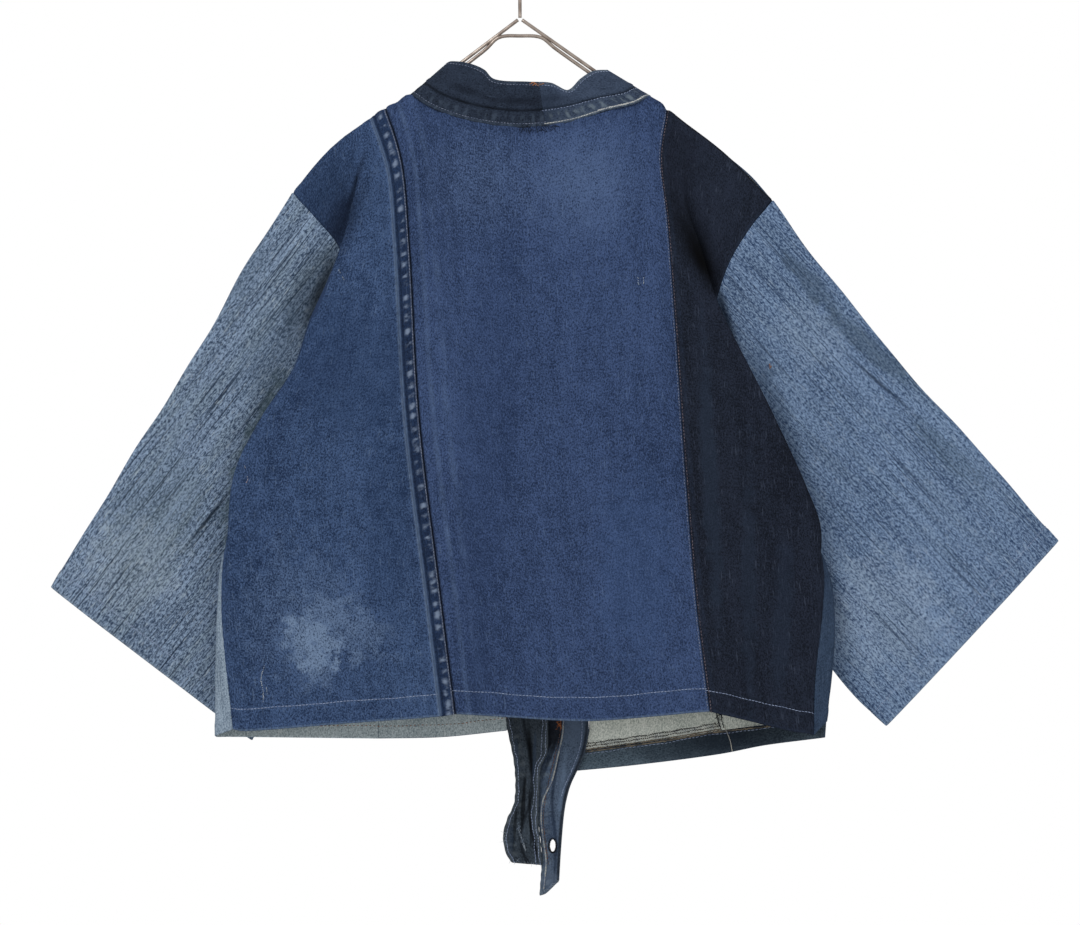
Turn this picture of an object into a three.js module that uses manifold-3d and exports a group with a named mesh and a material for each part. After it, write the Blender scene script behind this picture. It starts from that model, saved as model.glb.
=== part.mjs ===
// A patched denim jacket hanging, back outwards, on a wire hanger.
// Millimetres, +Z up. The origin is the inside top of the hanger's hook, where a rail or peg holds it.
// The back of the jacket faces -Y, and the dark back panel is on the +X side.
//
// Every cloth piece is a thin wall. Its shape comes from rails: curves that run from the shoulder or the
// neck down to the hem. A row across the rails gives the cloth from seam to seam.

import * as THREE from 'three';
import { mergeVertices } from 'three/addons/utils/BufferGeometryUtils.js';
import Module from 'manifold-3d';

// Driving dimensions
const CLOTH = 1.6; // thickness of a panel
const SEAM_GAP = 0.3; // clear distance between two pieces at a seam
const ROLL = 6; // radius of the cloth where it rolls over the hanger
const RIDGE_GAP = 0.4; // from the middle of the ridge to the back pieces, which bend most there
const FELL_WIDTH = 12.5; // felled seam on the back
const FELL_THICKNESS = 1.4;
const SLEEVE_DEPTH = 10; // half the space inside a sleeve
const WIRE_RADIUS = 1.6;
const WIRE_SIDES = 8;
const WIRE_SPACING = 3.8; // between the centres of the hanger's two wires
const ARM_SPAN = 176; // from the middle of the hanger to the end of an arm
const APEX_HEIGHT = -105; // where the arms meet below the hook
const HOOK_RADIUS = 20; // inside the hook
const BUTTONHOLE = { x: 29.5, z: -852, halfWidth: 2.6, halfHeight: 5.6 };

const COLOURS = {
  midBlue: 0x3a5482,
  centreBlue: 0x34496f,
  darkNavy: 0x20293b,
  sleeveLeft: 0x5e7899,
  sleeveRight: 0x5b7da8,
  collarDark: 0x1f2a3b,
  collarBlue: 0x3a4f6c,
  paleStrip: 0x6c88a4,
  greyStrip: 0x34496a,
  frontLeft: 0x4f6a8f,
  frontRight: 0x4a6480,
  hemBand: 0x3a4b5e,
  tieDark: 0x161f30,
  tieBlue: 0x33466a,
};

const wasm = await Module();
wasm.setup();

const jacket = new THREE.Group();
jacket.name = 'patched_jacket_on_hanger';

// ---------------------------------------------------------------- rails and lofts

const vector = ([x, y, z]) => new THREE.Vector3(x, y, z);

// A smooth curve through a few points, read by its share of the length.
function rail(...stretches) {
  const path = new THREE.CurvePath();
  for (const points of stretches) {
    path.add(new THREE.CatmullRomCurve3(points.map(vector), false, 'centripetal'));
  }
  return (share) => path.getPoint(THREE.MathUtils.clamp(share, 0, 1));
}

// The first points of a rail that rolls over the shoulder: side -1 goes to the back, +1 to the front.
function over(x, z, side, lean = 0) {
  return [
    [x, (side < 0 ? -RIDGE_GAP : 0.05), z],
    [x + 0.25 * lean, 0.57 * ROLL * side, z - 0.18 * ROLL],
    [x + lean, ROLL * side, z - ROLL],
  ];
}

// A rail a given share of the way from one rail to another, moved so as to start and end where stated.
function between(first, second, share, top = null, bottom = null) {
  const mix = (v) => first(v).lerp(second(v), share);
  const atTop = top ? vector(top).sub(mix(0)) : new THREE.Vector3();
  const atBottom = bottom ? vector(bottom).sub(mix(1)) : new THREE.Vector3();
  return (v) => mix(v).addScaledVector(atTop, 1 - v).addScaledVector(atBottom, v);
}

// A surface through rails: station 0 is the first rail, 1 the second, and so on.
function loft(rails) {
  return (station, v) => {
    const row = new THREE.CatmullRomCurve3(rails.map((line) => line(v)), false, 'centripetal');
    return row.getPoint(THREE.MathUtils.clamp(station / (rails.length - 1), 0, 1));
  };
}

const evenSteps = (from, to, count) => (
  Array.from({ length: count + 1 }, (_, i) => from + ((to - from) * i) / count)
);

// Rows down a panel: close together where the cloth rolls over the shoulder.
const shoulderRows = (count) => [0, 0.008, 0.02, ...evenSteps(0.05, 1, count)];

function surfaceNormal(surface, a, b, ends) {
  const step = 0.004;
  const [low, high] = ends;
  const alongA = surface(Math.min(a + step, high), b).sub(surface(Math.max(a - step, low), b));
  const alongB = surface(a, Math.min(b + step, 1)).sub(surface(a, Math.max(b - step, 0)));
  return alongA.cross(alongB).normalize();
}

// Pulls the outer rows of a grid in by a small distance, so that neighbours keep the seam gap.
function pullIn(grid, distances) {
  const rows = grid.length - 1;
  const columns = grid[0].length - 1;
  const move = (point, inner, distance) => {
    point.addScaledVector(inner.clone().sub(point).normalize(), distance);
  };
  for (const row of grid) {
    move(row[0], row[1], distances.first);
    move(row[columns], row[columns - 1], distances.last);
  }
  for (let c = 0; c <= columns; c += 1) {
    move(grid[0][c], grid[1][c], distances.top);
    move(grid[rows][c], grid[rows - 1][c], distances.bottom);
  }
}

function closedGeometry(positions, triangles) {
  const geometry = new THREE.BufferGeometry();
  geometry.setAttribute('position', new THREE.Float32BufferAttribute(positions, 3));
  geometry.setIndex(triangles);
  return geometry;
}

function signedVolume(geometry) {
  const position = geometry.getAttribute('position');
  const index = geometry.getIndex();
  const corner = (i) => new THREE.Vector3().fromBufferAttribute(position, index.getX(i));
  let volume = 0;
  for (let i = 0; i < index.count; i += 3) {
    volume += corner(i).dot(corner(i + 1).cross(corner(i + 2))) / 6;
  }
  return volume;
}

function facingOut(geometry) {
  if (signedVolume(geometry) < 0) {
    geometry.getIndex().array.reverse();
  }
  geometry.computeVertexNormals();
  return geometry;
}

// A wall of cloth on a surface: stations across, rows down, moved out by lift.
function clothWall(surface, stations, rows, options = {}) {
  const { thickness = CLOTH, lift = 0, closed = false, ends = [-1e9, 1e9] } = options;
  const half = SEAM_GAP / 2;
  const distances = { first: half, last: half, top: half, bottom: half, ...options.gaps };
  const grid = rows.map((v) => stations.map((s) => surface(s, v)));
  const normals = rows.map((v) => stations.map((s) => surfaceNormal(surface, s, v, ends)));
  if (closed) {
    distances.first = 0;
    distances.last = 0;
  }
  pullIn(grid, distances);
  const width = stations.length;
  const positions = [];
  for (const side of [0.5, -0.5]) {
    grid.forEach((row, r) => {
      row.forEach((point, c) => {
        positions.push(...point.clone().addScaledVector(normals[r][c], lift + side * thickness).toArray());
      });
    });
  }
  const layer = rows.length * width;
  const triangles = [];
  const quad = (a, b, c, d) => triangles.push(a, b, c, a, c, d);
  const at = (r, c) => r * width + (closed ? c % width : c);
  const spans = closed ? width : width - 1;
  for (let r = 0; r + 1 < rows.length; r += 1) {
    for (let c = 0; c < spans; c += 1) {
      quad(at(r, c), at(r, c + 1), at(r + 1, c + 1), at(r + 1, c));
      quad(layer + at(r, c), layer + at(r + 1, c), layer + at(r + 1, c + 1), layer + at(r, c + 1));
    }
    if (!closed) {
      quad(at(r, 0), at(r + 1, 0), layer + at(r + 1, 0), layer + at(r, 0));
      quad(at(r + 1, width - 1), at(r, width - 1), layer + at(r, width - 1), layer + at(r + 1, width - 1));
    }
  }
  const last = rows.length - 1;
  for (let c = 0; c < spans; c += 1) {
    quad(at(0, c + 1), at(0, c), layer + at(0, c), layer + at(0, c + 1));
    quad(at(last, c), at(last, c + 1), layer + at(last, c + 1), layer + at(last, c));
  }
  return facingOut(closedGeometry(positions, triangles));
}

function addMesh(name, geometry, colour, roughness = 0.9, metalness = 0) {
  const material = new THREE.MeshStandardMaterial({ color: colour, roughness, metalness });
  const mesh = new THREE.Mesh(geometry, material);
  mesh.name = name;
  jacket.add(mesh);
}

// ---------------------------------------------------------------- rails of the body

// The side seams run from the underarm to the hem. They start hidden behind the side folds.
const sideSeamLeft = [
  [-150, 2, -430], [-200, 1, -478], [-240, -2, -520], [-264, -5, -582],
  [-268, -8, -633], [-265, -11, -679], [-257, -16, -745],
];
const sideSeamRight = [
  [165, 2, -450], [215, 1, -505], [252, -2, -543], [272, -5, -600],
  [271, -8, -640], [265, -12, -699], [263, -16, -750],
];

// Armhole seams from the shoulder tip to the underarm.
const armhole = {
  backLeft: [
    ...over(-204, -264, -1, 5),
    [-184, -7, -286], [-161, -7, -316], [-151, -4, -370], sideSeamLeft[0],
  ],
  frontLeft: [
    ...over(-204, -264, 1, 3),
    [-188, 8, -290], [-168, 9, -325], [-154, 7, -380], [-149, 3.6, -429],
  ],
  backRight: [
    ...over(227, -271, -1, -5),
    [205, -7, -298], [186, -7, -332], [170, -4, -390], sideSeamRight[0],
  ],
  frontRight: [
    ...over(227, -271, 1, -3),
    [208, 8, -300], [190, 9, -335], [172, 7, -395], [164, 3.6, -449],
  ],
};

const backSideLeft = rail(armhole.backLeft, sideSeamLeft);
const backSideRight = rail(armhole.backRight, sideSeamRight);
const frontSideLeft = rail(armhole.frontLeft, [armhole.frontLeft.at(-1), ...sideSeamLeft.slice(1)]);
const frontSideRight = rail(armhole.frontRight, [armhole.frontRight.at(-1), ...sideSeamRight.slice(1)]);

// Back: the two long seams, the fold edges beside them and the valleys under the folds.
const felledSeam = rail([
  ...over(-121, -188, -1, 2), [-112, -11, -214], [-105, -14, -243], [-99, -18, -315],
  [-90, -24, -468], [-71, -30, -624], [-58, -34, -730],
]);
const felledSeamLeftEdge = rail([
  ...over(-121 - FELL_WIDTH, -196, -1, 2), [-125, -11, -220], [-117.5, -14, -247], [-111.5, -18, -317],
  [-102.5, -24, -469], [-83.5, -30, -625], [-70.5, -34, -732],
]);
const darkSeam = rail([
  ...over(132, -190, -1, -1), [128, -11, -212], [126, -13, -235], [132, -18, -290],
  [139, -21, -387], [148, -25, -522], [157, -28, -630], [169, -31, -728],
]);
const foldLeft = rail([
  ...over(-141, -201, -1), [-141, -12, -232], [-161, -17, -315], [-187, -19, -375],
  [-203, -19, -422], [-239, -16, -477], [-257, -13, -519], [-262, -11, -572],
  [-257, -15, -650], [-243, -22, -746],
]);
const valleyLeft = rail([
  ...over(-146, -205, -1), [-147, -11, -238], [-143, -9, -290], [-142, -8, -345],
  [-150, -5, -415], [-210, -4, -480], [-246, -7, -525], [-261, -8, -578],
  [-262, -12, -652], [-250, -19, -746],
]);
const shoulderLeft = between(valleyLeft, backSideLeft, 0.5, [-174, 0, -228]);
const foldRight = rail([
  ...over(141, -196, -1), [144, -14, -235], [147, -17, -274], [160, -19, -312], [175, -20, -359],
  [225, -18, -459], [257, -14, -528], [270, -11, -565], [268, -10, -605],
  [258, -15, -672], [247, -22, -747],
]);
const valleyRight = rail([
  ...over(146, -200, -1), [150, -12, -240], [151, -10, -285], [156, -8, -345],
  [164, -5, -420], [222, -4, -502], [255, -6, -540], [269.5, -8.5, -606],
  [263, -13, -672], [255, -19, -748],
]);
const shoulderRight = between(valleyRight, backSideRight, 0.5, [190, 0, -234.5]);
const backMiddleLeft = between(foldLeft, felledSeamLeftEdge, 0.5);
const backMiddleRight = between(darkSeam, foldRight, 0.5);

const neckLeft = rail([
  ...over(-98, -175, -1, 2), [-92, -14, -215], [-82, -20, -320], [-62, -28, -500], [-38, -35, -731],
]);
const neckRight = rail([
  ...over(117, -177, -1, -2), [111, -14, -218], [118, -21, -330], [134, -27, -520], [153, -33, -729],
]);
const napeLeft = rail([
  [-60, -17, -196], [-58, -20, -228], [-48, -25, -390], [-30, -32, -580], [-4, -37, -733],
]);
const nape = rail([[8, -22, -206], [10, -24, -240], [20, -28, -400], [36, -34, -590], [58, -39, -736]]);
const napeRight = rail([
  [77, -17, -192], [78, -20, -226], [88, -25, -390], [104, -32, -580], [119, -37, -732],
]);

const backLeft = loft([
  backSideLeft, shoulderLeft, valleyLeft, foldLeft, backMiddleLeft, felledSeamLeftEdge, felledSeam,
]);
const backCentre = loft([felledSeam, neckLeft, napeLeft, nape, napeRight, neckRight, darkSeam]);
const backRight = loft([darkSeam, backMiddleRight, foldRight, valleyRight, shoulderRight, backSideRight]);

// Front: from the side seam round to the band that edges the opening.
const wrapLeft = rail([
  ...over(-194, -252, 1), [-174, 10, -300], [-150, 10, -350], [-140, 3, -418],
  [-190, 5, -484], [-234, 4, -528], [-267, -1, -590], [-272, -2, -633], [-274, -2, -688], [-274, -5, -752],
]);
const wrapInsideLeft = rail([
  ...over(-183, -239, 1), [-160, 12, -300], [-138, 11, -350], [-128, 7, -420],
  [-176, 8, -484], [-222, 8, -528], [-256, 6, -590], [-262, 6, -633], [-264, 6, -688], [-262, 5, -753],
]);
const sideStripSeamLeft = rail([
  ...over(-158, -213, 1), [-146, 12, -255], [-128, 13, -330], [-118, 12, -430],
  [-122, 13, -520], [-128, 14, -620], [-128, 12, -755],
]);
const neckSeamLeft = rail([
  ...over(-98, -175, 1, 2), [-76, 12, -222], [-42, 15, -280], [-18, 16, -335],
  [-13, 16, -400], [-12, 15, -560], [-12, 14, -748],
]);
const bandEdgeLeft = rail([
  ...over(-65, -147, 1, 3), [-42, 12, -198], [-8, 15, -258], [19, 17, -322],
  [24.4, 17, -380], [24.4, 16, -560], [24.4, 15, -750],
]);
const frontMiddleLeft = between(
  sideStripSeamLeft, neckSeamLeft, 0.5, [-128, 0.05, -192.5], [-70, 15, -754],
);

const wrapRight = rail([
  ...over(217, -259, 1), [196, 10, -306], [167, 10, -365], [155, 3, -438],
  [204, 5, -510], [246, 4, -548], [278, 0, -606], [283, -1, -655], [280, -2, -700], [275, -5, -737],
]);
const wrapInsideRight = rail([
  ...over(206, -247, 1), [182, 12, -306], [154, 11, -365], [143, 7, -438],
  [190, 8, -510], [234, 8, -548], [266, 7, -606], [272, 7, -655], [270, 6, -700], [264, 5, -738],
]);
const sideStripSeamRight = rail([
  ...over(160, -210, 1), [150, 12, -255], [136, 13, -340], [130, 12, -440],
  [150, 13, -530], [172, 14, -620], [181, 12, -748],
]);
const openingRight = [
  ...over(117, -177, 1, -2), [91, 12, -226], [68, 15, -285], [63, 16, -345], [62, 16, -420], [63, 15, -560],
];
const neckSeamRight = rail(
  [...openingRight, [63, 14, -735]], [[63, 14, -735], [62, 16.6, -751], [58, 18.4, -767]],
);
const bandSeamRight = rail([...openingRight, [63, 14, -731]]);
const bandEdgeRight = rail([
  ...over(78, -153, 1, -3), [54, 12, -208], [33, 15, -262], [26, 17, -320],
  [25.4, 17, -380], [25.4, 16, -560], [25.4, 15, -731],
]);
const frontMiddleRight = between(
  sideStripSeamRight, neckSeamRight, 0.5, [140, 0.05, -195.5], [122, 15, -758],
);

const frontSideStripLeft = loft([frontSideLeft, wrapLeft, wrapInsideLeft, sideStripSeamLeft]);
const frontLeft = loft([sideStripSeamLeft, frontMiddleLeft, neckSeamLeft]);
const frontSideStripRight = loft([frontSideRight, wrapRight, wrapInsideRight, sideStripSeamRight]);
const frontRight = loft([sideStripSeamRight, frontMiddleRight, neckSeamRight]);
const bandLeft = loft([neckSeamLeft, between(neckSeamLeft, bandEdgeLeft, 0.5), bandEdgeLeft]);
const bandRight = loft([bandSeamRight, between(bandSeamRight, bandEdgeRight, 0.5), bandEdgeRight]);

// The band below the overlocked seam of the right front: its two long edges, from the opening to the side.
const hemBandTop = rail([
  [50, 19.2, -768], [58, 18.4, -767], [122, 15, -758], [181, 12, -748], [222, 9, -743.5], [264, 5, -738],
  [275, -5, -737],
]);
const hemBandEdge = rail([
  [48, 19.2, -785], [58, 18.4, -784], [106, 15, -779], [181, 12, -769], [220, 8, -761], [264, 5, -755],
  [274, -4, -753],
]);
const hemBand = loft([hemBandTop, hemBandEdge]);

// ---------------------------------------------------------------- collar and loose ends

const collarLower = rail([
  [-98, -0.2, -175], [-94, -7, -177.5], [-84, -13, -185], [-60, -17, -195.5],
  [-25, -21, -204], [8, -22, -206],
  [45, -21, -200.4], [77, -17, -190.8], [104, -12.5, -183.5], [113, -7, -178.2], [117, -0.2, -177],
]);
const collarGroove = rail([
  [-86, -0.2, -165], [-82, -7, -166], [-74, -11, -171], [-56, -14, -179],
  [-24, -17.5, -189], [8, -18.5, -191],
  [44, -17.5, -189], [70, -13, -179], [94, -10, -174], [101, -5, -170], [103, -0.2, -168],
]);
const collarUpper = rail([
  [-65, -0.2, -147], [-60, -6, -146], [-46, -9, -148], [-32, -11, -154], [-24, -12, -162], [8, -13, -165],
  [28, -13, -166], [43, -12, -172], [55, -9, -161], [66, -6, -154], [78, -0.2, -153],
]);
const collar = loft([collarLower, collarGroove, collarUpper]);
const COLLAR_JOIN = 0.56;

const tieDark = loft([
  rail([
    [-11.2, 14, -732], [-9.6, 14, -751], [-5, 14, -776], [-3.7, 13, -797], [-5.5, 12.5, -815], [-11, 12, -827],
    [-15, 12, -843], [-12, 12, -860], [-7.5, 12, -867],
  ]),
  rail([[5, 16, -732], [4.4, 16.6, -751], [4, 17.4, -779], [4, 17, -801], [0, 16, -829], [-1, 15, -846], [6, 15, -868.5]]),
  rail([
    [24.6, 15, -732], [25, 15, -751], [24, 15, -769], [19, 14, -779], [16.8, 13, -790], [16.8, 12.5, -805],
    [15.8, 12, -818], [16, 11.5, -832], [18, 11, -850], [19.8, 11, -869],
  ]),
]);
const tieBlue = loft([
  rail([
    [23, 20.5, -732], [22, 20.5, -751], [19, 20, -775], [16, 19, -797], [15, 18, -812], [15.5, 17, -824],
    [19.5, 14.5, -860], [18, 14, -897],
  ]),
  rail([
    [39, 16, -732], [38, 16, -751], [34, 16, -775], [27, 15, -797], [22.5, 14, -812], [22, 13, -824],
    [24, 12, -860], [23, 12, -895],
  ]),
  rail([
    [61.4, 13.2, -732], [61.4, 12.8, -751], [57.5, 13, -770], [52, 13.2, -783], [45.5, 13.5, -797], [41.5, 13, -811],
    [39.3, 12, -824], [36.7, 12, -855], [35, 12, -884],
  ]),
]);

// ---------------------------------------------------------------- sleeves

// A sleeve hangs flat: its top edge, its lower edge behind the body, and a flattened ring between them.
function sleeve({ topEdge, lowerEdge, backArmhole, frontArmhole }) {
  const upper = rail(topEdge);
  const lower = new THREE.CubicBezierCurve3(...lowerEdge.map(vector));
  const backSeam = rail([...backArmhole.slice(0, -1), lowerEdge[0]]);
  const frontSeam = rail([...frontArmhole.slice(0, -1), lowerEdge[0]]);
  return (turn, v) => {
    const wrapped = ((turn % 2) + 2) % 2;
    const isBack = wrapped <= 1;
    const angle = (isBack ? wrapped : 2 - wrapped) * Math.PI;
    const across = (1 - Math.cos(angle)) / 2;
    const depth = Math.pow(Math.sin(angle), 0.7) * SLEEVE_DEPTH * (isBack ? -1 : 1);
    const seam = (isBack ? backSeam : frontSeam)(across);
    const fade = Math.pow(1 - v, 3);
    const point = upper(v).lerp(lower.getPoint(v), across);
    const chord = upper(0).lerp(lower.getPoint(0), across);
    return point.addScaledVector(seam.sub(chord), fade).add(new THREE.Vector3(0, depth * (1 - fade), 0));
  };
}

const sleeveLeft = sleeve({
  topEdge: [
    [-204, 0, -264], [-245, 8, -327], [-278, 14, -387],
    [-321, 18, -456], [-359, 20, -515], [-424, 21, -619],
  ],
  lowerEdge: [[-155, 4.5, -426], [-150, 40, -470], [-180, 30, -620], [-244, 26, -757]],
  backArmhole: armhole.backLeft,
  frontArmhole: armhole.frontLeft,
});
const sleeveRight = sleeve({
  topEdge: [
    [227, 0, -271], [261, 8, -319], [316, 14, -385],
    [364, 18, -443], [422, 20, -504], [487, 21, -577],
  ],
  lowerEdge: [[169.5, 4.5, -446], [168, 40, -490], [236, 30, -661], [332, 26, -744.5]],
  backArmhole: armhole.backRight,
  frontArmhole: armhole.frontRight,
});

// ---------------------------------------------------------------- hanger

// A round wire along a path of straight runs and bends.
function wire(points, steps, radius) {
  const curve = new THREE.CatmullRomCurve3(points.map(vector), false, 'centripetal');
  const middle = new THREE.Vector2();
  const corner = (turn) => new THREE.Vector2(radius, 0).rotateAround(middle, turn * 2 * Math.PI);
  const section = new THREE.Shape(evenSteps(0, 1 - 1 / WIRE_SIDES, WIRE_SIDES - 1).map(corner));
  const solid = new THREE.ExtrudeGeometry(section, { steps, bevelEnabled: false, extrudePath: curve });
  solid.deleteAttribute('normal');
  solid.deleteAttribute('uv');
  return facingOut(mergeVertices(solid, 1e-3));
}

// One wire: down an arm, round its end, back under itself, over the small arch, and the same again.
function hangerPath() {
  const armSlope = { left: 0.7536, right: 0.705 };
  const topWire = (x) => APEX_HEIGHT - 1.2 - Math.abs(x) * (x < 0 ? armSlope.left : armSlope.right);
  const underWire = (x) => topWire(x) - WIRE_SPACING * 1.25;
  const arm = (side) => [
    [1.9 * side, 0, APEX_HEIGHT - 2.6],
    [30 * side, 0, topWire(30 * side)],
    [100 * side, 0, topWire(100 * side)],
    [(ARM_SPAN - 8) * side, 0, topWire((ARM_SPAN - 8) * side)],
    [ARM_SPAN * side, 0, topWire(ARM_SPAN * side) - 1.2],
    [(ARM_SPAN + 0.6) * side, 0, topWire(ARM_SPAN * side) - 3.4],
    [(ARM_SPAN - 3) * side, 0, underWire((ARM_SPAN - 3) * side) - 0.4],
    [(ARM_SPAN - 12) * side, 0, underWire((ARM_SPAN - 12) * side)],
    [100 * side, 0, underWire(100 * side)],
    [32 * side, 0, underWire(32 * side)],
    [19 * side, 0, APEX_HEIGHT - 18.5],
  ];
  return [...arm(-1), [0, 0, APEX_HEIGHT - 17], ...arm(1).reverse()];
}

function hookPath() {
  const centre = -HOOK_RADIUS;
  const radius = HOOK_RADIUS + WIRE_RADIUS;
  const onCircle = (degrees) => {
    const angle = THREE.MathUtils.degToRad(degrees);
    return [radius * Math.cos(angle), 0, centre + radius * Math.sin(angle)];
  };
  const stem = [[0, 0, APEX_HEIGHT - 0.6], [0, 0, -85], [1, 0, -66], [10, 0, -51]];
  return [...stem, ...evenSteps(-35, 215, 10).map(onCircle)];
}

// ---------------------------------------------------------------- pieces

const lies = (surface, from, to, perSpan, rows, options = {}) => (
  clothWall(surface, evenSteps(from, to, Math.round((to - from) * perSpan)), rows, {
    ends: [from, to],
    ...options,
  })
);

const BODY_ROWS = shoulderRows(16);
// How far a piece's edge keeps from its neighbour, where bent cloth needs more than half a seam gap.
const SIDE_SEAM = 1.6;
const DARK_SEAM = 0.35;
const STRIP_SEAM = 0.5;
const UNDER_COLLAR = 3.3;
const HEM_CORNER = 0.8;
const CROSSING = 0.6;
const sideStripGaps = { first: SIDE_SEAM, last: STRIP_SEAM };

addMesh('back_left_panel', lies(backLeft, 0, 6, 2, BODY_ROWS, {
  gaps: { first: SIDE_SEAM },
}), COLOURS.midBlue);
addMesh('back_centre_panel', lies(backCentre, 0, 6, 2, BODY_ROWS, {
  gaps: { top: UNDER_COLLAR, last: DARK_SEAM },
}), COLOURS.centreBlue);
addMesh('back_right_panel', lies(backRight, 0, 5, 2, BODY_ROWS, {
  gaps: { first: DARK_SEAM, last: SIDE_SEAM },
}), COLOURS.darkNavy);

const overPanel = CLOTH / 2 + SEAM_GAP + FELL_THICKNESS / 2;
addMesh('back_felled_seam', lies(backLeft, 5, 6, 2, BODY_ROWS, {
  thickness: FELL_THICKNESS,
  lift: overPanel,
}), COLOURS.midBlue);

addMesh('front_left_side_panel', lies(frontSideStripLeft, 0, 3, 2, BODY_ROWS, {
  gaps: sideStripGaps,
}), COLOURS.paleStrip);
addMesh('front_left_panel', lies(frontLeft, 0, 2, 2, BODY_ROWS, {
  gaps: { first: STRIP_SEAM },
}), COLOURS.frontLeft);
addMesh('front_right_side_panel', lies(frontSideStripRight, 0, 3, 2, BODY_ROWS, {
  gaps: sideStripGaps,
}), COLOURS.greyStrip);
addMesh('front_right_panel', lies(frontRight, 0, 2, 2, BODY_ROWS), COLOURS.frontRight);
addMesh('front_right_hem_band', lies(hemBand, 0, 1, 1, evenSteps(0, 1, 12), {
  gaps: { first: HEM_CORNER },
}), COLOURS.hemBand);
addMesh('front_left_band', lies(bandLeft, 0, 2, 1, [...BODY_ROWS.slice(0, -1), 0.971], {
  gaps: { top: CROSSING },
}), COLOURS.collarDark);
addMesh('front_right_band', lies(bandRight, 0, 2, 1, BODY_ROWS, {
  gaps: { top: CROSSING, first: CROSSING },
}), COLOURS.tieBlue);

addMesh('collar_left', lies(collar, 0, 2, 2, evenSteps(0, COLLAR_JOIN, 14), {
  gaps: { top: CROSSING },
}), COLOURS.collarDark);
addMesh('collar_right', lies(collar, 0, 2, 2, evenSteps(COLLAR_JOIN, 1, 12), {
  gaps: { bottom: CROSSING },
}), COLOURS.collarBlue);

const ringTurns = [...evenSteps(0, 1, 8).slice(0, -1), ...evenSteps(1, 2, 8).slice(0, -1)];
const sleeveRows = [0, 0.04, 0.09, ...evenSteps(0.16, 1, 10)];
const ARMHOLE_GAP = 1;
const SLEEVE_WALL = { closed: true, gaps: { top: ARMHOLE_GAP } };
addMesh('sleeve_left', clothWall(sleeveLeft, ringTurns, sleeveRows, SLEEVE_WALL), COLOURS.sleeveLeft);
addMesh('sleeve_right', clothWall(sleeveRight, ringTurns, sleeveRows, SLEEVE_WALL), COLOURS.sleeveRight);

addMesh('tie_left', lies(tieDark, 0, 2, 2, evenSteps(0, 1, 10)), COLOURS.tieDark);

// The buttonhole goes right through the blue loose end.
function manifoldOf(geometry) {
  const mesh = { numProp: 3 };
  mesh.vertProperties = new Float32Array(geometry.getAttribute('position').array);
  mesh.triVerts = new Uint32Array(geometry.getIndex().array);
  return new wasm.Manifold(new wasm.Mesh(mesh));
}

function geometryOf(solid) {
  const { vertProperties, triVerts } = solid.getMesh();
  return facingOut(closedGeometry(Array.from(vertProperties), Array.from(triVerts)));
}

function buttonholeCutter() {
  const oval = new THREE.Shape();
  oval.absellipse(0, 0, BUTTONHOLE.halfWidth, BUTTONHOLE.halfHeight, 0, Math.PI * 2);
  const solid = new THREE.ExtrudeGeometry(oval, { depth: 30, bevelEnabled: false, curveSegments: 7 });
  solid.rotateX(Math.PI / 2);
  solid.translate(BUTTONHOLE.x, 30, BUTTONHOLE.z);
  solid.deleteAttribute('normal');
  solid.deleteAttribute('uv');
  return facingOut(mergeVertices(solid, 1e-3));
}

const plainTie = manifoldOf(lies(tieBlue, 0, 2, 2, evenSteps(0, 1, 14)));
addMesh('tie_right', geometryOf(plainTie.subtract(manifoldOf(buttonholeCutter()))), COLOURS.tieBlue);

const STEEL = { colour: 0xa79a92, roughness: 0.3, metalness: 1 };
addMesh(
  'hanger_frame', wire(hangerPath(), 84, WIRE_RADIUS), STEEL.colour, STEEL.roughness, STEEL.metalness,
);
addMesh('hanger_hook', wire(hookPath(), 36, WIRE_RADIUS), STEEL.colour, STEEL.roughness, STEEL.metalness);

export default jacket;
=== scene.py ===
"""A jacket pieced from worn denim, hanging back outwards on a wire hanger.

Lengths of the cut are given in millimetres and made metres by rail() and mm().
The back of the jacket faces -Y, and the origin is the inside top of the hook.
"""
import math
import random

import bmesh
import bpy
import numpy as np
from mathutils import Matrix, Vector


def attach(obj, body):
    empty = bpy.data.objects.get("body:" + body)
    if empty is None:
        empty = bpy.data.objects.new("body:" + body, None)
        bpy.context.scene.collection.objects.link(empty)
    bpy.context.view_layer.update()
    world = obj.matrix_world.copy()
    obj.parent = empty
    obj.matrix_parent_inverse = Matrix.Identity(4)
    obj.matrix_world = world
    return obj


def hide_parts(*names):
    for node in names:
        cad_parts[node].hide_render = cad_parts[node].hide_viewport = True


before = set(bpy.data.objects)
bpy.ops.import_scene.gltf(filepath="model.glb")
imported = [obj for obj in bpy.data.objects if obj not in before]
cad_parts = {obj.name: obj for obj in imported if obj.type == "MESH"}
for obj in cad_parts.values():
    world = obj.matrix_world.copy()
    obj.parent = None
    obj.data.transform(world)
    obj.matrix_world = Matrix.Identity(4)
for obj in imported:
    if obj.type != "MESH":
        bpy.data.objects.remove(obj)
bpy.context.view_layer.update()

MM = 0.001

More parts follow.
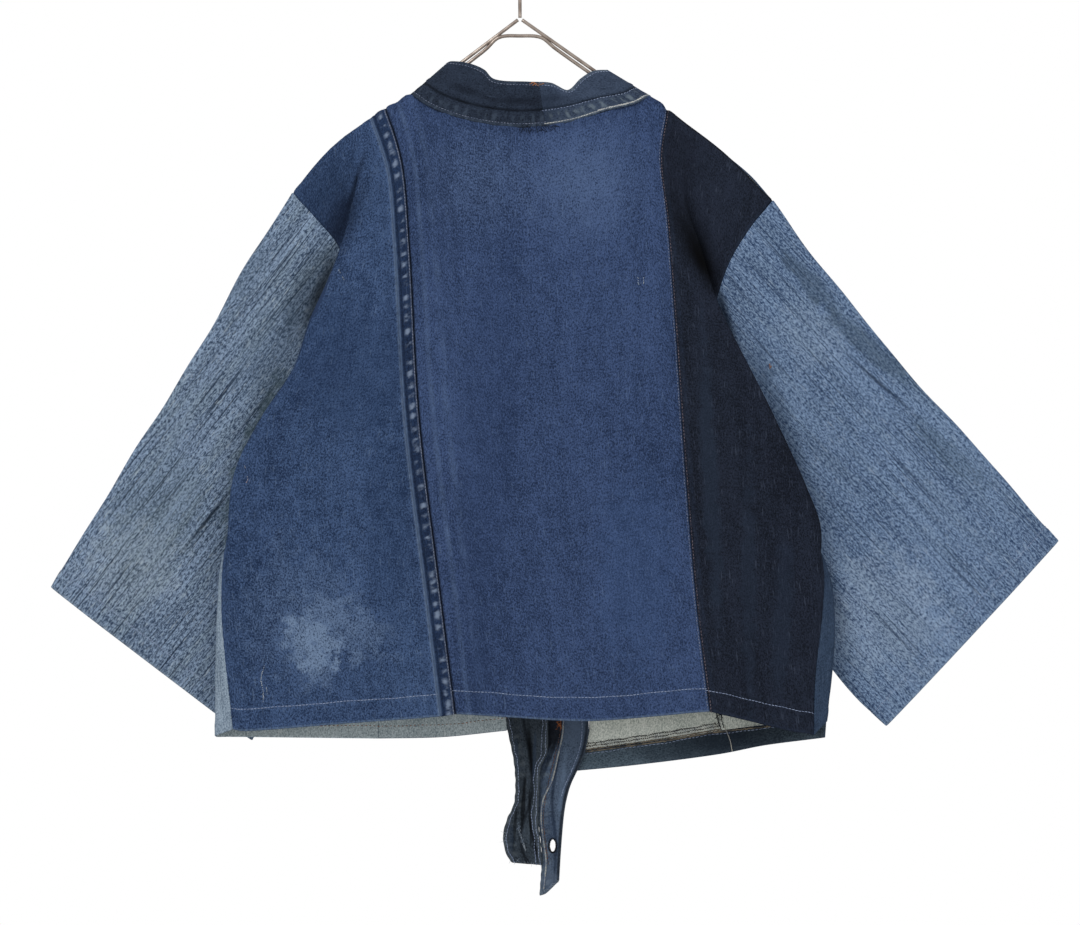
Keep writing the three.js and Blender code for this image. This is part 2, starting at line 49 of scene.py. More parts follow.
# Cloth and thread
CLOTH = 1.4  # wall of a panel
WAISTBAND = 1.9  # wall of the doubled bands
FELLED = 1.9  # wall of the felled seam
SEAM_GAP = 0.3
ROLL = 6.0  # radius of the cloth over the hanger's arms
RIDGE_GAP = 0.4
FELL_WIDTH = 12.5
BAND_END = -731.0  # where the front bands end,
TIE_TOP = BAND_END - 0.2  # and run on as the loose ends
SLEEVE_DEPTH = 10.0  # half of a sleeve's thickness
HEM_DEPTH = 19.0  # from the hem's fold to its stitches
FRONT_HEM_DEPTH = 12.0
CUFF_DEPTH = 17.0
THREAD_LIFT = 0.12  # of a thread's middle above the cloth
COARSE = 1.0
PANEL_STEPS, COLLAR_STEPS, TIE_STEPS = (3.6, 2.8), (1.8, 2.2), (1.6, 1.8)  # of a grid, across and down
EDGE_STEPS = [0.8, 1.7, 2.8, 4.2, 6.0, 8.2, 10.8]  # the first grid lines from an edge
RAIL_STEPS = 24  # to each point of a rail
STATION_SAMPLES, ROW_SAMPLES = 240, 300  # for measuring a surface

# Hanger
WIRE_RADIUS = 1.6
WIRE_SPACING = 3.8
ARM_SPAN = 176.0
APEX_HEIGHT = -105.0
HOOK_RADIUS = 20.0
WIRE_SIDES = 20
ARM_SLOPE_LEFT = 0.7536
ARM_SLOPE_RIGHT = 0.705

# Stage, in metres
CAMERA_PLACE = (0.018, -3.5, -0.506)
CAMERA_LENS, CAMERA_SENSOR = 129.6, 36  # millimetres
LIGHT_TARGET = (0, 0, -0.5)
FLOOR_RADIUS, FLOOR_HEIGHT, FLOOR_CORNERS = 2.2, -1.35, 96


def mm(*values):
    """Millimetres to metres."""
    return tuple(value * MM for value in values)


# ------------------------------------------------------------------ curves and lofts

def spline(points, t):
    """Centripetal Catmull-Rom through points (n, ..., 3) at t from 0 to 1."""
    count = len(points)
    place = np.clip(np.asarray(t, float), 0.0, 1.0) * (count - 1)
    first = np.minimum(place.astype(int), count - 2)
    before = 2 * points[0] - points[1]
    after = 2 * points[-1] - points[-2]
    padded = np.concatenate([before[None], points, after[None]])
    p0, p1, p2, p3 = (padded[first + k] for k in range(4))

    def knot(a, b):
        return np.maximum(np.sum((b - a) ** 2, axis=-1, keepdims=True), 1e-14) ** 0.25

    d0, d1, d2 = knot(p0, p1), knot(p1, p2), knot(p2, p3)
    t1 = ((p1 - p0) / d0 - (p2 - p0) / (d0 + d1) + (p2 - p1) / d1) * d1
    t2 = ((p2 - p1) / d1 - (p3 - p1) / (d1 + d2) + (p3 - p2) / d2) * d1
    w = (place - first).reshape((-1,) + (1,) * (p1.ndim - 1))
    bend = -3 * p1 + 3 * p2 - 2 * t1 - t2
    turn = 2 * p1 - 2 * p2 + t1 + t2
    return p1 + w * (t1 + w * (bend + w * turn))


def rail(*stretches):
    """A smooth curve through a few points in mm, read in metres by its share of the length."""
    path = np.concatenate([
        spline(np.array(points, float) * MM, np.linspace(0, 1, RAIL_STEPS * len(points))) for points in stretches
    ])
    length = np.concatenate([[0.0], np.cumsum(np.linalg.norm(np.diff(path, axis=0), axis=1))])
    share = length / length[-1]
    return lambda v: np.stack([np.interp(v, share, path[:, k]) for k in range(3)], axis=-1)


def over(x, z, side, lean=0.0):
    """The first points of a rail over the shoulder: side -1 goes to the back, +1 to the front.

    The middle point lies 35 degrees round the roll.
    """
    return [
        (x, -RIDGE_GAP if side < 0 else 0.05, z),
        (x + 0.25 * lean, 0.57 * ROLL * side, z - 0.18 * ROLL),
        (x + lean, ROLL * side, z - ROLL),
    ]


def between(first, second, share, top=None, bottom=None):
    """A rail part of the way from one rail to another, moved to start and end where stated."""
    ends = [first(np.array([v])) * (1 - share) + second(np.array([v])) * share for v in (0.0, 1.0)]
    at_top = np.zeros(3) if top is None else np.array(top) * MM - ends[0][0]
    at_bottom = np.zeros(3) if bottom is None else np.array(bottom) * MM - ends[1][0]

    def curve(v):
        v = np.asarray(v, float)
        mixed = first(v) * (1 - share) + second(v) * share
        return mixed + at_top * (1 - v)[:, None] + at_bottom * v[:, None]

    return curve


def loft(*rails):
    """A surface through rails. surface(stations, v) gives a grid of points, rows first."""
    def surface(stations, v):
        lines = np.stack([line(v) for line in rails])
        return spline(lines, np.asarray(stations) / (len(rails) - 1)).transpose(1, 0, 2)

    return surface


# ------------------------------------------------------------------ the cut: rails of the body

SIDE_SEAM_LEFT = [
    (-150, 2, -430), (-200, 1, -478), (-240, -2, -520), (-264, -5, -582),
    (-268, -8, -633), (-265, -11, -679), (-257, -16, -745),
]
SIDE_SEAM_RIGHT = [
    (165, 2, -450), (215, 1, -505), (252, -2, -543), (272, -5, -600),
    (271, -8, -640), (265, -12, -699), (263, -16, -750),
]
ARMHOLE = {
    "back_left": [
        *over(-204, -264, -1, 5), (-184, -7, -286), (-161, -7, -316), (-151, -4, -370), SIDE_SEAM_LEFT[0],
    ],
    "front_left": [
        *over(-204, -264, 1, 3), (-188, 8, -290), (-168, 9, -325), (-154, 7, -380), (-149, 3.6, -429),
    ],
    "back_right": [
        *over(227, -271, -1, -5), (205, -7, -298), (186, -7, -332), (170, -4, -390), SIDE_SEAM_RIGHT[0],
    ],
    "front_right": [
        *over(227, -271, 1, -3), (208, 8, -300), (190, 9, -335), (172, 7, -395), (164, 3.6, -449),
    ],
}


def side_rail(name, seam):
    armhole = ARMHOLE[name]
    return rail(armhole, [armhole[-1], *seam[1:]])


back_side_left = side_rail("back_left", SIDE_SEAM_LEFT)
back_side_right = side_rail("back_right", SIDE_SEAM_RIGHT)
front_side_left = side_rail("front_left", SIDE_SEAM_LEFT)
front_side_right = side_rail("front_right", SIDE_SEAM_RIGHT)

felled_seam = rail([
    *over(-121, -188, -1, 2), (-112, -11, -214), (-105, -14, -243), (-99, -18, -315),
    (-90, -24, -468), (-71, -30, -624), (-58, -34, -730),
])
felled_seam_left_edge = rail([
    *over(-121 - FELL_WIDTH, -196, -1, 2), (-125, -11, -220), (-117.5, -14, -247), (-111.5, -18, -317),
    (-102.5, -24, -469), (-83.5, -30, -625), (-70.5, -34, -732),
])
dark_seam = rail([
    *over(132, -190, -1, -1), (128, -11, -212), (126, -13, -235), (132, -18, -290),
    (139, -21, -387), (148, -25, -522), (157, -28, -630), (169, -31, -728),
])
fold_left = rail([
    *over(-141, -201, -1), (-141, -12, -232), (-161, -17, -315), (-187, -19, -375), (-203, -19, -422),
    (-239, -16, -477), (-257, -13, -519), (-262, -11, -572), (-257, -15, -650), (-243, -22, -746),
])
valley_left = rail([
    *over(-146, -205, -1), (-147, -11, -238), (-143, -9, -290), (-142, -8, -345), (-150, -5, -415),
    (-210, -4, -480), (-246, -7, -525), (-261, -8, -578), (-262, -12, -652), (-250, -19, -746),
])
shoulder_left = between(valley_left, back_side_left, 0.5, (-174, 0, -228))
fold_right = rail([
    *over(141, -196, -1), (144, -14, -235), (147, -17, -274), (160, -19, -312), (175, -20, -359),
    (225, -18, -459), (257, -14, -528), (270, -11, -565), (268, -10, -605), (258, -15, -672), (247, -22, -747),
])
valley_right = rail([
    *over(146, -200, -1), (150, -12, -240), (151, -10, -285), (156, -8, -345), (164, -5, -420),
    (222, -4, -502), (255, -6, -540), (269.5, -8.5, -606), (263, -13, -672), (255, -19, -748),
])
shoulder_right = between(valley_right, back_side_right, 0.5, (190, 0, -234.5))

neck_left = rail([
    *over(-98, -175, -1, 2), (-92, -14, -215), (-82, -20, -320), (-62, -28, -500), (-38, -35, -731),
])
neck_right = rail([
    *over(117, -177, -1, -2), (111, -14, -218), (118, -21, -330), (134, -27, -520), (153, -33, -729),
])
nape_left = rail([(-60, -17, -196), (-58, -20, -228), (-48, -25, -390), (-30, -32, -580), (-4, -37, -733)])
nape = rail([(8, -22, -206), (10, -24, -240), (20, -28, -400), (36, -34, -590), (58, -39, -736)])
nape_right = rail([(77, -17, -192), (78, -20, -226), (88, -25, -390), (104, -32, -580), (119, -37, -732)])

back_left = loft(
    back_side_left, shoulder_left, valley_left, fold_left,
    between(fold_left, felled_seam_left_edge, 0.5), felled_seam_left_edge, felled_seam,
)
back_centre = loft(felled_seam, neck_left, nape_left, nape, nape_right, neck_right, dark_seam)
back_right = loft(
    dark_seam, between(dark_seam, fold_right, 0.5), fold_right, valley_right, shoulder_right, back_side_right,
)

wrap_left = rail([
    *over(-194, -252, 1), (-174, 10, -300), (-150, 10, -350), (-140, 3, -418),
    (-190, 5, -484), (-234, 4, -528), (-267, -1, -590), (-272, -2, -633), (-274, -2, -688), (-274, -5, -752),
])
wrap_inside_left = rail([
    *over(-183, -239, 1), (-160, 12, -300), (-138, 11, -350), (-128, 7, -420),
    (-176, 8, -484), (-222, 8, -528), (-256, 6, -590), (-262, 6, -633), (-264, 6, -688), (-262, 5, -753),
])
strip_seam_left = rail([
    *over(-158, -213, 1), (-146, 12, -255), (-128, 13, -330), (-118, 12, -430), (-122, 13, -520),
    (-128, 14, -620), (-128, 12, -755),
])
OPENING_LEFT = [
    *over(-98, -175, 1, 2), (-76, 12, -222), (-42, 15, -280), (-18, 16, -335), (-13, 16, -400), (-12, 15, -560),
]
neck_seam_left = rail([*OPENING_LEFT, (-12, 14, -748)])
band_seam_left = rail([*OPENING_LEFT, (-12, 14, BAND_END)])
band_edge_left = rail([
    *over(-65, -147, 1, 3), (-42, 12, -198), (-8, 15, -258), (19, 17, -322), (24.4, 17, -380), (24.4, 16, -560),
    (24.4, 15, BAND_END),
])
wrap_right = rail([
    *over(217, -259, 1), (196, 10, -306), (167, 10, -365), (155, 3, -438),
    (204, 5, -510), (246, 4, -548), (278, 0, -606), (283, -1, -655), (280, -2, -700), (275, -5, -737),
])
wrap_inside_right = rail([
    *over(206, -247, 1), (182, 12, -306), (154, 11, -365), (143, 7, -438),
    (190, 8, -510), (234, 8, -548), (266, 7, -606), (272, 7, -655), (270, 6, -700), (264, 5, -738),
])
strip_seam_right = rail([
    *over(160, -210, 1), (150, 12, -255), (136, 13, -340), (130, 12, -440), (150, 13, -530), (172, 14, -620),
    (181, 12, -748),
])
OPENING_RIGHT = [
    *over(117, -177, 1, -2), (91, 12, -226), (68, 15, -285), (63, 16, -345), (62, 16, -420), (63, 15, -560),
]
neck_seam_right = rail([*OPENING_RIGHT, (63, 14, -735)], [(63, 14, -735), (62, 16.6, -751), (58, 18.4, -767)])
band_seam_right = rail([*OPENING_RIGHT, (63, 14, BAND_END)])
band_edge_right = rail([
    *over(78, -153, 1, -3), (54, 12, -208), (33, 15, -262), (26, 17, -320), (25.4, 17, -380), (25.4, 16, -560),
    (25.4, 15, BAND_END),
])

front_strip_left = loft(front_side_left, wrap_left, wrap_inside_left, strip_seam_left)
front_left = loft(
    strip_seam_left, between(strip_seam_left, neck_seam_left, 0.5, (-128, 0.05, -192.5), (-70, 15, -754)),
    neck_seam_left,
)
front_strip_right = loft(front_side_right, wrap_right, wrap_inside_right, strip_seam_right)
front_right = loft(
    strip_seam_right, between(strip_seam_right, neck_seam_right, 0.5, (140, 0.05, -195.5), (122, 15, -758)),
    neck_seam_right,
)
band_left = loft(band_seam_left, between(band_seam_left, band_edge_left, 0.5), band_edge_left)
band_right = loft(band_seam_right, between(band_seam_right, band_edge_right, 0.5), band_edge_right)
hem_band = loft(
    rail([
        (50, 19.2, -768), (58, 18.4, -767), (122, 15, -758), (181, 12, -748), (222, 9, -743.5),
        (264, 5, -738), (275, -5, -737),
    ]),
    rail([
        (48, 19.2, -785), (58, 18.4, -784), (106, 15, -779), (181, 12, -769), (220, 8, -761),
        (264, 5, -755), (274, -4, -753),
    ]),
)

collar = loft(
    rail([
        (-98, -0.2, -175), (-94, -7, -177.5), (-84, -13, -185), (-60, -17, -195.5), (-25, -21, -204),
        (8, -22, -206), (45, -21, -200.4), (77, -17, -190.8), (104, -12.5, -183.5), (113, -7, -178.2),
        (117, -0.2, -177),
    ]),
    rail([
        (-86, -0.2, -165), (-82, -7, -166), (-74, -11, -171), (-56, -14, -179), (-24, -17.5, -189),
        (8, -18.5, -191), (44, -17.5, -189), (70, -13, -179), (94, -10, -174), (101, -5, -170), (103, -0.2, -168),
    ]),
    rail([
        (-65, -0.2, -147), (-60, -6, -146), (-46, -9, -148), (-32, -11, -154), (-24, -12, -162), (8, -13, -165),
        (28, -13, -166), (43, -12, -172), (55, -9, -161), (66, -6, -154), (78, -0.2, -153),
    ]),
)
COLLAR_JOIN = 0.56  # share of the collar's length that is the dark half

tie_dark = loft(
    rail([
        (-12.8, 11.9, TIE_TOP), (-11, 12.2, -746), (-5, 13.6, -776), (-3.7, 13, -797), (-5.5, 12.5, -815),
        (-11, 12, -827), (-15, 12, -843), (-12, 12, -860), (-7.5, 12, -867),
    ]),
    rail([
        (5, 16, TIE_TOP), (4.4, 16.6, -751), (4, 17.4, -779), (4, 17, -801), (0, 16, -829), (-1, 15, -846),
        (6, 15, -868.5),
    ]),
    rail([
        (24.6, 15, TIE_TOP), (25, 15, -751), (24, 15, -769), (19, 14, -779), (16.8, 13, -790), (16.8, 12.5, -805),
        (15.8, 12, -818), (16, 11.5, -832), (18, 11, -850), (19.8, 11, -869),
    ]),
)
tie_blue = loft(
    rail([
        (23, 20.5, TIE_TOP), (22, 20.5, -751), (19, 20, -775), (16, 19, -797), (15, 18, -812), (15.5, 17, -824),
        (19.5, 14.5, -860), (18, 14, -897),
    ]),
    rail([
        (39, 16, TIE_TOP), (38, 16, -751), (34, 16, -775), (27, 15, -797), (22.5, 14, -812), (22, 13, -824),
        (24, 12, -860), (23, 12, -895),
    ]),
    rail([
        (61.4, 13.2, TIE_TOP), (61.4, 12.8, -751), (57.5, 13, -770), (52, 13.2, -783), (45.5, 13.5, -797),
        (41.5, 13, -811), (39.3, 12, -824), (36.7, 12, -855), (35, 12, -884),
    ]),
)


def sleeve(top_edge, lower_edge, back_armhole, front_armhole):
    """A flattened tube: turn 0 is its top edge, 1 its lower edge, with the back wall between them."""
    upper = rail(top_edge)
    control = np.array(lower_edge, float) * MM
    back_seam = rail([*back_armhole[:-1], lower_edge[0]])
    front_seam = rail([*front_armhole[:-1], lower_edge[0]])

    def lower(v):
        v = v[:, None]
        w = 1 - v
        return w**3 * control[0] + 3 * w * w * v * control[1] + 3 * w * v * v * control[2] + v**3 * control[3]

    start = np.array([0.0])

    def surface(turns, v):
        turns = np.mod(np.asarray(turns, float), 2.0)
        v = np.asarray(v, float)
        is_back = turns <= 1
        angle = np.where(is_back, turns, 2 - turns) * math.pi
        across = (1 - np.cos(angle)) / 2
        depth = np.sin(angle) ** 0.7 * SLEEVE_DEPTH * MM * np.where(is_back, -1, 1)
        seam = np.where(is_back[:, None], back_seam(across), front_seam(across))
        chord = upper(start) * (1 - across)[:, None] + lower(start) * across[:, None]
        fade = ((1 - v) ** 3)[:, None]
        body = upper(v)[:, None] * (1 - across)[None, :, None] + lower(v)[:, None] * across[None, :, None]
        grid = body + (seam - chord)[None] * fade[..., None]
        grid[..., 1] += depth[None] * (1 - fade)
        return grid

    return surface


sleeve_left = sleeve(
    [(-204, 0, -264), (-245, 8, -327), (-278, 14, -387), (-321, 18, -456), (-359, 20, -515), (-424, 21, -619)],
    [(-155, 4.5, -426), (-150, 40, -470), (-180, 30, -620), (-244, 26, -757)],
    ARMHOLE["back_left"], ARMHOLE["front_left"],
)
sleeve_right = sleeve(
    [(227, 0, -271), (261, 8, -319), (316, 14, -385), (364, 18, -443), (422, 20, -504), (487, 21, -577)],
    [(169.5, 4.5, -446), (168, 40, -490), (236, 30, -661), (332, 26, -744.5)],
    ARMHOLE["back_right"], ARMHOLE["front_right"],
)


# ------------------------------------------------------------------ making cloth

class Place:
    """Where each grid point of a cloth piece lies, in mm: in space, and as distances over the cloth."""

    def __init__(self, grid, grain, closed):
        ring = np.concatenate([grid, grid[:, :1]], axis=1) if closed else grid
        across = np.zeros(ring.shape[:2])
        across[:, 1:] = np.cumsum(np.linalg.norm(np.diff(ring, axis=1), axis=2), axis=1)
        down = np.zeros(ring.shape[:2])
        down[1:] = np.cumsum(np.linalg.norm(np.diff(ring, axis=0), axis=2), axis=0)
        self.x, self.y, self.z = (ring[..., k] / MM for k in range(3))
        self.left = across / MM
        self.right = (across[:, -1:] - across) / MM
        self.top = down / MM
        self.hem = (down[-1:] - down) / MM
        column = int(round(grain * (grid.shape[1] - 1)))
        self.u = self.left - self.left[:, column:column + 1]
        self.v = np.broadcast_to(self.top[:, column:column + 1], self.u.shape)


def bump(distance, width):
    """1 on a line, falling softly to 0 about two widths away."""
    return np.exp(-((distance / width) ** 2))


def crease(place, start, end, width, height):
    """A soft ridge (or a trough, where height is negative) between two points (x, z) of the cloth."""
    start, end = np.array(start, float), np.array(end, float)
    line = end - start
    length = np.linalg.norm(line)
    dx, dz = place.x - start[0], place.z - start[1]
    along = (dx * line[0] + dz * line[1]) / length**2
    away = (dx * line[1] - dz * line[0]) / length
    steepness = 3.2  # it rises and falls within a third of its length
    taper = np.clip(along * steepness, 0, 1) * np.clip((1 - along) * steepness, 0, 1)
    return height * bump(away, width) * taper**2 * (3 - 2 * taper)


def slack(place, height, seed):
    """The slight unevenness of hanging cloth: a few long waves with fixed phases."""
    random_phase = random.Random(seed)
    total = 0
    for wavelength, share in ((150, 0.5), (83, 0.3), (47, 0.2)):
        turn = random_phase.uniform(-0.5, 0.5)
        phase = random_phase.uniform(0, 6.28)
        along = place.x * math.cos(turn) + 0.45 * place.z * math.sin(turn * 1.7 + 0.6)
        total = total + share * np.sin(2 * math.pi * along / wavelength + phase)
    return height * total


def pucker(along, away, pitch, reach, height, seed):
    """Ripples beside a row of stitches: pitch apart along it, dying out within reach of it."""
    phase = 0.9 * np.sin(along / 31.0 + seed) + 0.6 * np.sin(along / 13.7 + 2 * seed)
    return height * np.sin(2 * math.pi * along / pitch + phase) * bump(away, reach)


def step_down(distance, where, softness, height):
    """height near distance 0, falling to 0 at where."""
    return height * (1 - np.tanh((distance - where) / (2 * softness))) / 2


def hem_relief(place, depth=HEM_DEPTH):
    """A turned hem is thicker, with a soft dip at its stitches and slight ripples round them."""
    doubled = step_down(place.hem, depth + 0.8, 0.7, 0.55)
    ripples = pucker(place.u, place.hem - depth * 0.8, 8.5, 9, 0.35, 1.3)
    return doubled - 0.5 * bump(place.hem - depth, 1.3) + ripples


def seam_relief(distance, along, allowance=9.0, ridge=0.45):
    """Cloth dips into a seam, and the turned-in edges raise it a little beside the seam."""
    dip = -1.1 * bump(distance, 1.5)
    raised = step_down(distance, allowance, 0.9, ridge)
    return dip + raised + pucker(along, distance - 3, 10.5, 5, 0.22, 0.4)


def surface_normals(grid, closed):
    """Unit normals of a grid of points."""
    if closed:
        across = np.roll(grid, -1, axis=1) - np.roll(grid, 1, axis=1)
    else:
        across = np.gradient(grid, axis=1)
    normal = np.cross(across, np.gradient(grid, axis=0))
    return normal / np.maximum(np.linalg.norm(normal, axis=2, keepdims=True), 1e-12)


def spread(length, step, ends=True):
    """Distances over a length less half a seam gap at each end: close at the ends, then about step apart."""
    near = [SEAM_GAP / 2, *EDGE_STEPS] if ends else [SEAM_GAP / 2]
    near = [value for value in near if value < 0.42 * length]
    far = [length - value for value in reversed(near)]
    count = max(2, int(round((far[0] - near[-1]) / (step * COARSE))))
    middle = list(np.linspace(near[-1], far[0], count + 1))[1:-1]
    return np.array(near + middle + far)


def lay_out(surface, first, last, step_across, step_down, dense_ends=True):
    """Stations and rows that put grid points at even distances over the cloth."""
    stations = np.linspace(first, last, STATION_SAMPLES)
    rows = np.linspace(0, 1, ROW_SAMPLES)
    sample = surface(stations, rows[::12])
    across = np.cumsum(np.linalg.norm(np.diff(sample, axis=1), axis=2), axis=1).mean(axis=0) / MM
    across = np.concatenate([[0], across])
    sample = surface(stations[::20], rows)
    down = np.cumsum(np.linalg.norm(np.diff(sample, axis=0), axis=2), axis=0).mean(axis=1) / MM
    down = np.concatenate([[0], down])
    wanted = spread(across[-1], step_across, dense_ends)
    return np.interp(wanted, across, stations), np.interp(spread(down[-1], step_down), down, rows)


def mesh_from_grid(name, middle, normal, thickness, place, closed, materials):
    """A closed wall: the right side, the wrong side and rounded edges, with UV maps in metres."""
    rows, columns = middle.shape[:2]
    wide = place.u.shape[1]
    number = np.arange(rows * columns).reshape(rows, columns)
    if closed:
        number = np.concatenate([number, number[:, :1]], axis=1)
    values = np.arange(rows * wide).reshape(rows, wide)
    layer = rows * columns
    half = thickness / 2
    points = [(middle + normal * half).reshape(-1, 3), (middle - normal * half).reshape(-1, 3)]
    corners, corner_values, sides = [], [], []

    def add_quads(vertex_rows, value_rows, side):
        corners.append(np.stack(vertex_rows, axis=-1).reshape(-1, 4))
        corner_values.append(np.stack(value_rows, axis=-1).reshape(-1, 4))
        sides.append(np.full(corners[-1].shape[0], side))

    def blocks(table):
        return table[:-1, :-1], table[1:, :-1], table[1:, 1:], table[:-1, 1:]

    add_quads(blocks(number), blocks(values), 0)
    add_quads(blocks(number + layer)[::-1], blocks(values)[::-1], 1)

    def add_rim(line, inner_line, value_line, flip):
        """Joins the two sides along one edge with a rounded rim."""
        start = sum(len(block) for block in points)
        edge = middle.reshape(-1, 3)[line]
        inward = middle.reshape(-1, 3)[inner_line]
        outwards = edge - inward
        outwards /= np.maximum(np.linalg.norm(outwards, axis=1, keepdims=True), 1e-12)
        points.append(edge + outwards * half * 0.7)
        bead = start + np.arange(len(line))
        if closed:
            bead[-1] = bead[0]
        for upper, lower in ((line, bead), (bead, line + layer)):
            quad = [upper[:-1], upper[1:], lower[1:], lower[:-1]]
            value = [value_line[:-1], value_line[1:], value_line[1:], value_line[:-1]]
            add_quads(quad[::-1] if flip else quad, value[::-1] if flip else value, 0)
        return bead

    def add_corner(corner, first_bead, second_bead):
        """Closes the slit between two rims at a corner."""
        corners.append(np.array([[number[corner], first_bead, number[corner] + layer, second_bead]]))
        corner_values.append(np.full((1, 4), values[corner]))
        sides.append(np.zeros(1, int))

    above = add_rim(number[0], number[1], values[0], False)
    below = add_rim(number[-1], number[-2], values[-1], True)
    if not closed:
        near = add_rim(number[:, 0], number[:, 1], values[:, 0], True)
        far = add_rim(number[:, -1], number[:, -2], values[:, -1], False)
        add_corner((0, 0), above[0], near[0])
        add_corner((0, -1), far[0], above[-1])
        add_corner((-1, 0), near[-1], below[0])
        add_corner((-1, -1), below[-1], far[-1])

    points = np.concatenate(points)
    corners = np.concatenate(corners)
    corner_values = np.concatenate(corner_values)
    sides = np.concatenate(sides)
    mesh = bpy.data.meshes.new(name)
    mesh.vertices.add(len(points))
    mesh.vertices.foreach_set("co", points.ravel())
    mesh.loops.add(corners.size)
    mesh.loops.foreach_set("vertex_index", corners.ravel())
    mesh.polygons.add(len(corners))
    mesh.polygons.foreach_set("loop_start", np.arange(0, corners.size, 4))
    mesh.polygons.foreach_set("material_index", sides)
    mesh.update(calc_edges=True)
    maps = {
        "cloth": (place.x, place.z) if closed else (place.u, place.v),
        "sides": (place.left, place.right),
        "ends": (place.top, place.hem),
    }
    for map_name, pair in maps.items():
        table = np.stack([part.ravel() * MM for part in pair], axis=1)[corner_values.ravel()]
        layer_data = mesh.uv_layers.new(name=map_name)
        layer_data.data.foreach_set("uv", table.ravel())
    mesh.shade_smooth()
    for material in materials:
        mesh.materials.append(material)
    return mesh


grids = {}  # of each cloth piece: its middle surface, normals, Place and thickness


def link(name, data):
    """Puts a mesh, light or camera in the scene."""
    made = bpy.data.objects.new(name, data)
    bpy.context.scene.collection.objects.link(made)
    return made


def face_outwards(mesh):
    """Turns a closed mesh's faces outwards."""
    made = bmesh.new()
    made.from_mesh(mesh)
    bmesh.ops.recalc_face_normals(made, faces=made.faces)
    made.to_mesh(mesh)
    made.free()


def apply_modifier(piece, modifier):
    """Gives the piece the plain mesh that its modifier makes."""
    bpy.context.view_layer.update()
    made = bpy.data.meshes.new_from_object(piece.evaluated_get(bpy.context.evaluated_depsgraph_get()))
    piece.modifiers.remove(modifier)
    piece.data = made
    made.name = piece.name


def cloth(name, node_name, surface, span, materials, facing, relief, thickness=CLOTH, lift=0.0,
          grain=0.0, closed=False, steps=PANEL_STEPS):
    """Makes one cloth piece in place of its plain solid, and hides that solid.

    The right side faces back (facing -1) or front (+1). The relief is a height in mm along the normals.
    """
    stations, rows = lay_out(surface, *span, *steps, dense_ends=not closed)
    if closed:
        stations = np.linspace(*span, len(stations))[:-1]
    grid = surface(stations, rows)
    normal = surface_normals(grid, closed)
    columns = slice(0, grid.shape[1] // 2) if closed else slice(None)
    if np.mean(normal[:, columns, 1]) * facing < 0:
        normal = -normal
    place = Place(grid, grain, closed)
    height = relief(place)[:, :grid.shape[1]] * MM
    grid = grid + normal * height[..., None]
    sharper = surface_normals(grid, closed)
    normal = sharper if np.mean(sharper * normal) > 0 else -sharper
    grid = grid + normal * lift * MM
    mesh = mesh_from_grid(name, grid, normal, thickness * MM, place, closed, materials)
    if np.mean(surface_normals(grid, closed) * normal) > 0:
        mesh.flip_normals()
    piece = link(name, mesh)
    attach(piece, "root")
    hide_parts(node_name)
    grids[name] = (grid, normal, place, thickness)
    return piece


# ------------------------------------------------------------------ node helpers

def paint(code):
    """A display colour such as "#3a5482" as linear RGBA."""
    parts = [int(code[k:k + 2], 16) / 255 for k in (1, 3, 5)]
    return (*[c / 12.92 if c <= 0.04045 else ((c + 0.055) / 1.055) ** 2.4 for c in parts], 1.0)


def node(tree, kind, inputs=None, **settings):
    """Adds a node, with settings and with inputs that are values or other nodes' outputs."""
    made = tree.nodes.new(kind)
    for key, value in settings.items():
        setattr(made, key, value)
    for key, value in (inputs or {}).items():
        if isinstance(value, bpy.types.NodeSocket):
            tree.links.new(value, made.inputs[key])
        else:
            made.inputs[key].default_value = value
    return made


def maths(tree, operation, first, second=0.0, clamp=False):
    return node(tree, "ShaderNodeMath", {0: first, 1: second}, operation=operation, use_clamp=clamp).outputs[0]


def times(tree, first, second, clamp=False):
    return maths(tree, "MULTIPLY", first, second, clamp)


def plus(tree, first, second, clamp=False):
    return maths(tree, "ADD", first, second, clamp)


def minus(tree, first, second):
    return maths(tree, "SUBTRACT", first, second)


def divided(tree, first, second):
    return maths(tree, "DIVIDE", first, second)


def vector_maths(tree, operation, first, second):
    return node(tree, "ShaderNodeVectorMath", {0: first, 1: second}, operation=operation).outputs[0]


def combined(tree, x=0.0, y=0.0, z=0.0):
    return node(tree, "ShaderNodeCombineXYZ", {0: x, 1: y, 2: z}).outputs[0]


def in_space(tree):
    """The shaded point's place in space."""
    return node(tree, "ShaderNodeTexCoord").outputs["Object"]


def cut_map(tree, name):
    return node(tree, "ShaderNodeUVMap", uv_map=name).outputs[0]


def ramp(tree, value, low, high, start=0.0, end=1.0):
    """Moves smoothly from start to end as value goes from low to high."""
    made = node(tree, "ShaderNodeMapRange", {0: value, 1: low, 2: high, 3: start, 4: end},
                interpolation_type="SMOOTHSTEP", clamp=True)
    return made.outputs[0]


def mix_colour(tree, share, first, second, blend="MIX"):
    made = node(tree, "ShaderNodeMix", {0: share, 6: first, 7: second}, data_type="RGBA", blend_type=blend)
    return made.outputs[2]


def scaled(tree, vector, scale, turn=0.0, shift=(0, 0, 0)):
    made = node(tree, "ShaderNodeMapping", {0: vector, 1: shift, 2: (0, 0, turn), 3: scale}, vector_type="POINT")
    return made.outputs[0]


def noise(tree, vector, detail=2.0, roughness=0.5, distortion=0.0):
    made = node(tree, "ShaderNodeTexNoise", {"Vector": vector, "Scale": 1.0, "Detail": detail,
                                             "Roughness": roughness, "Distortion": distortion})
    return made.outputs[0]


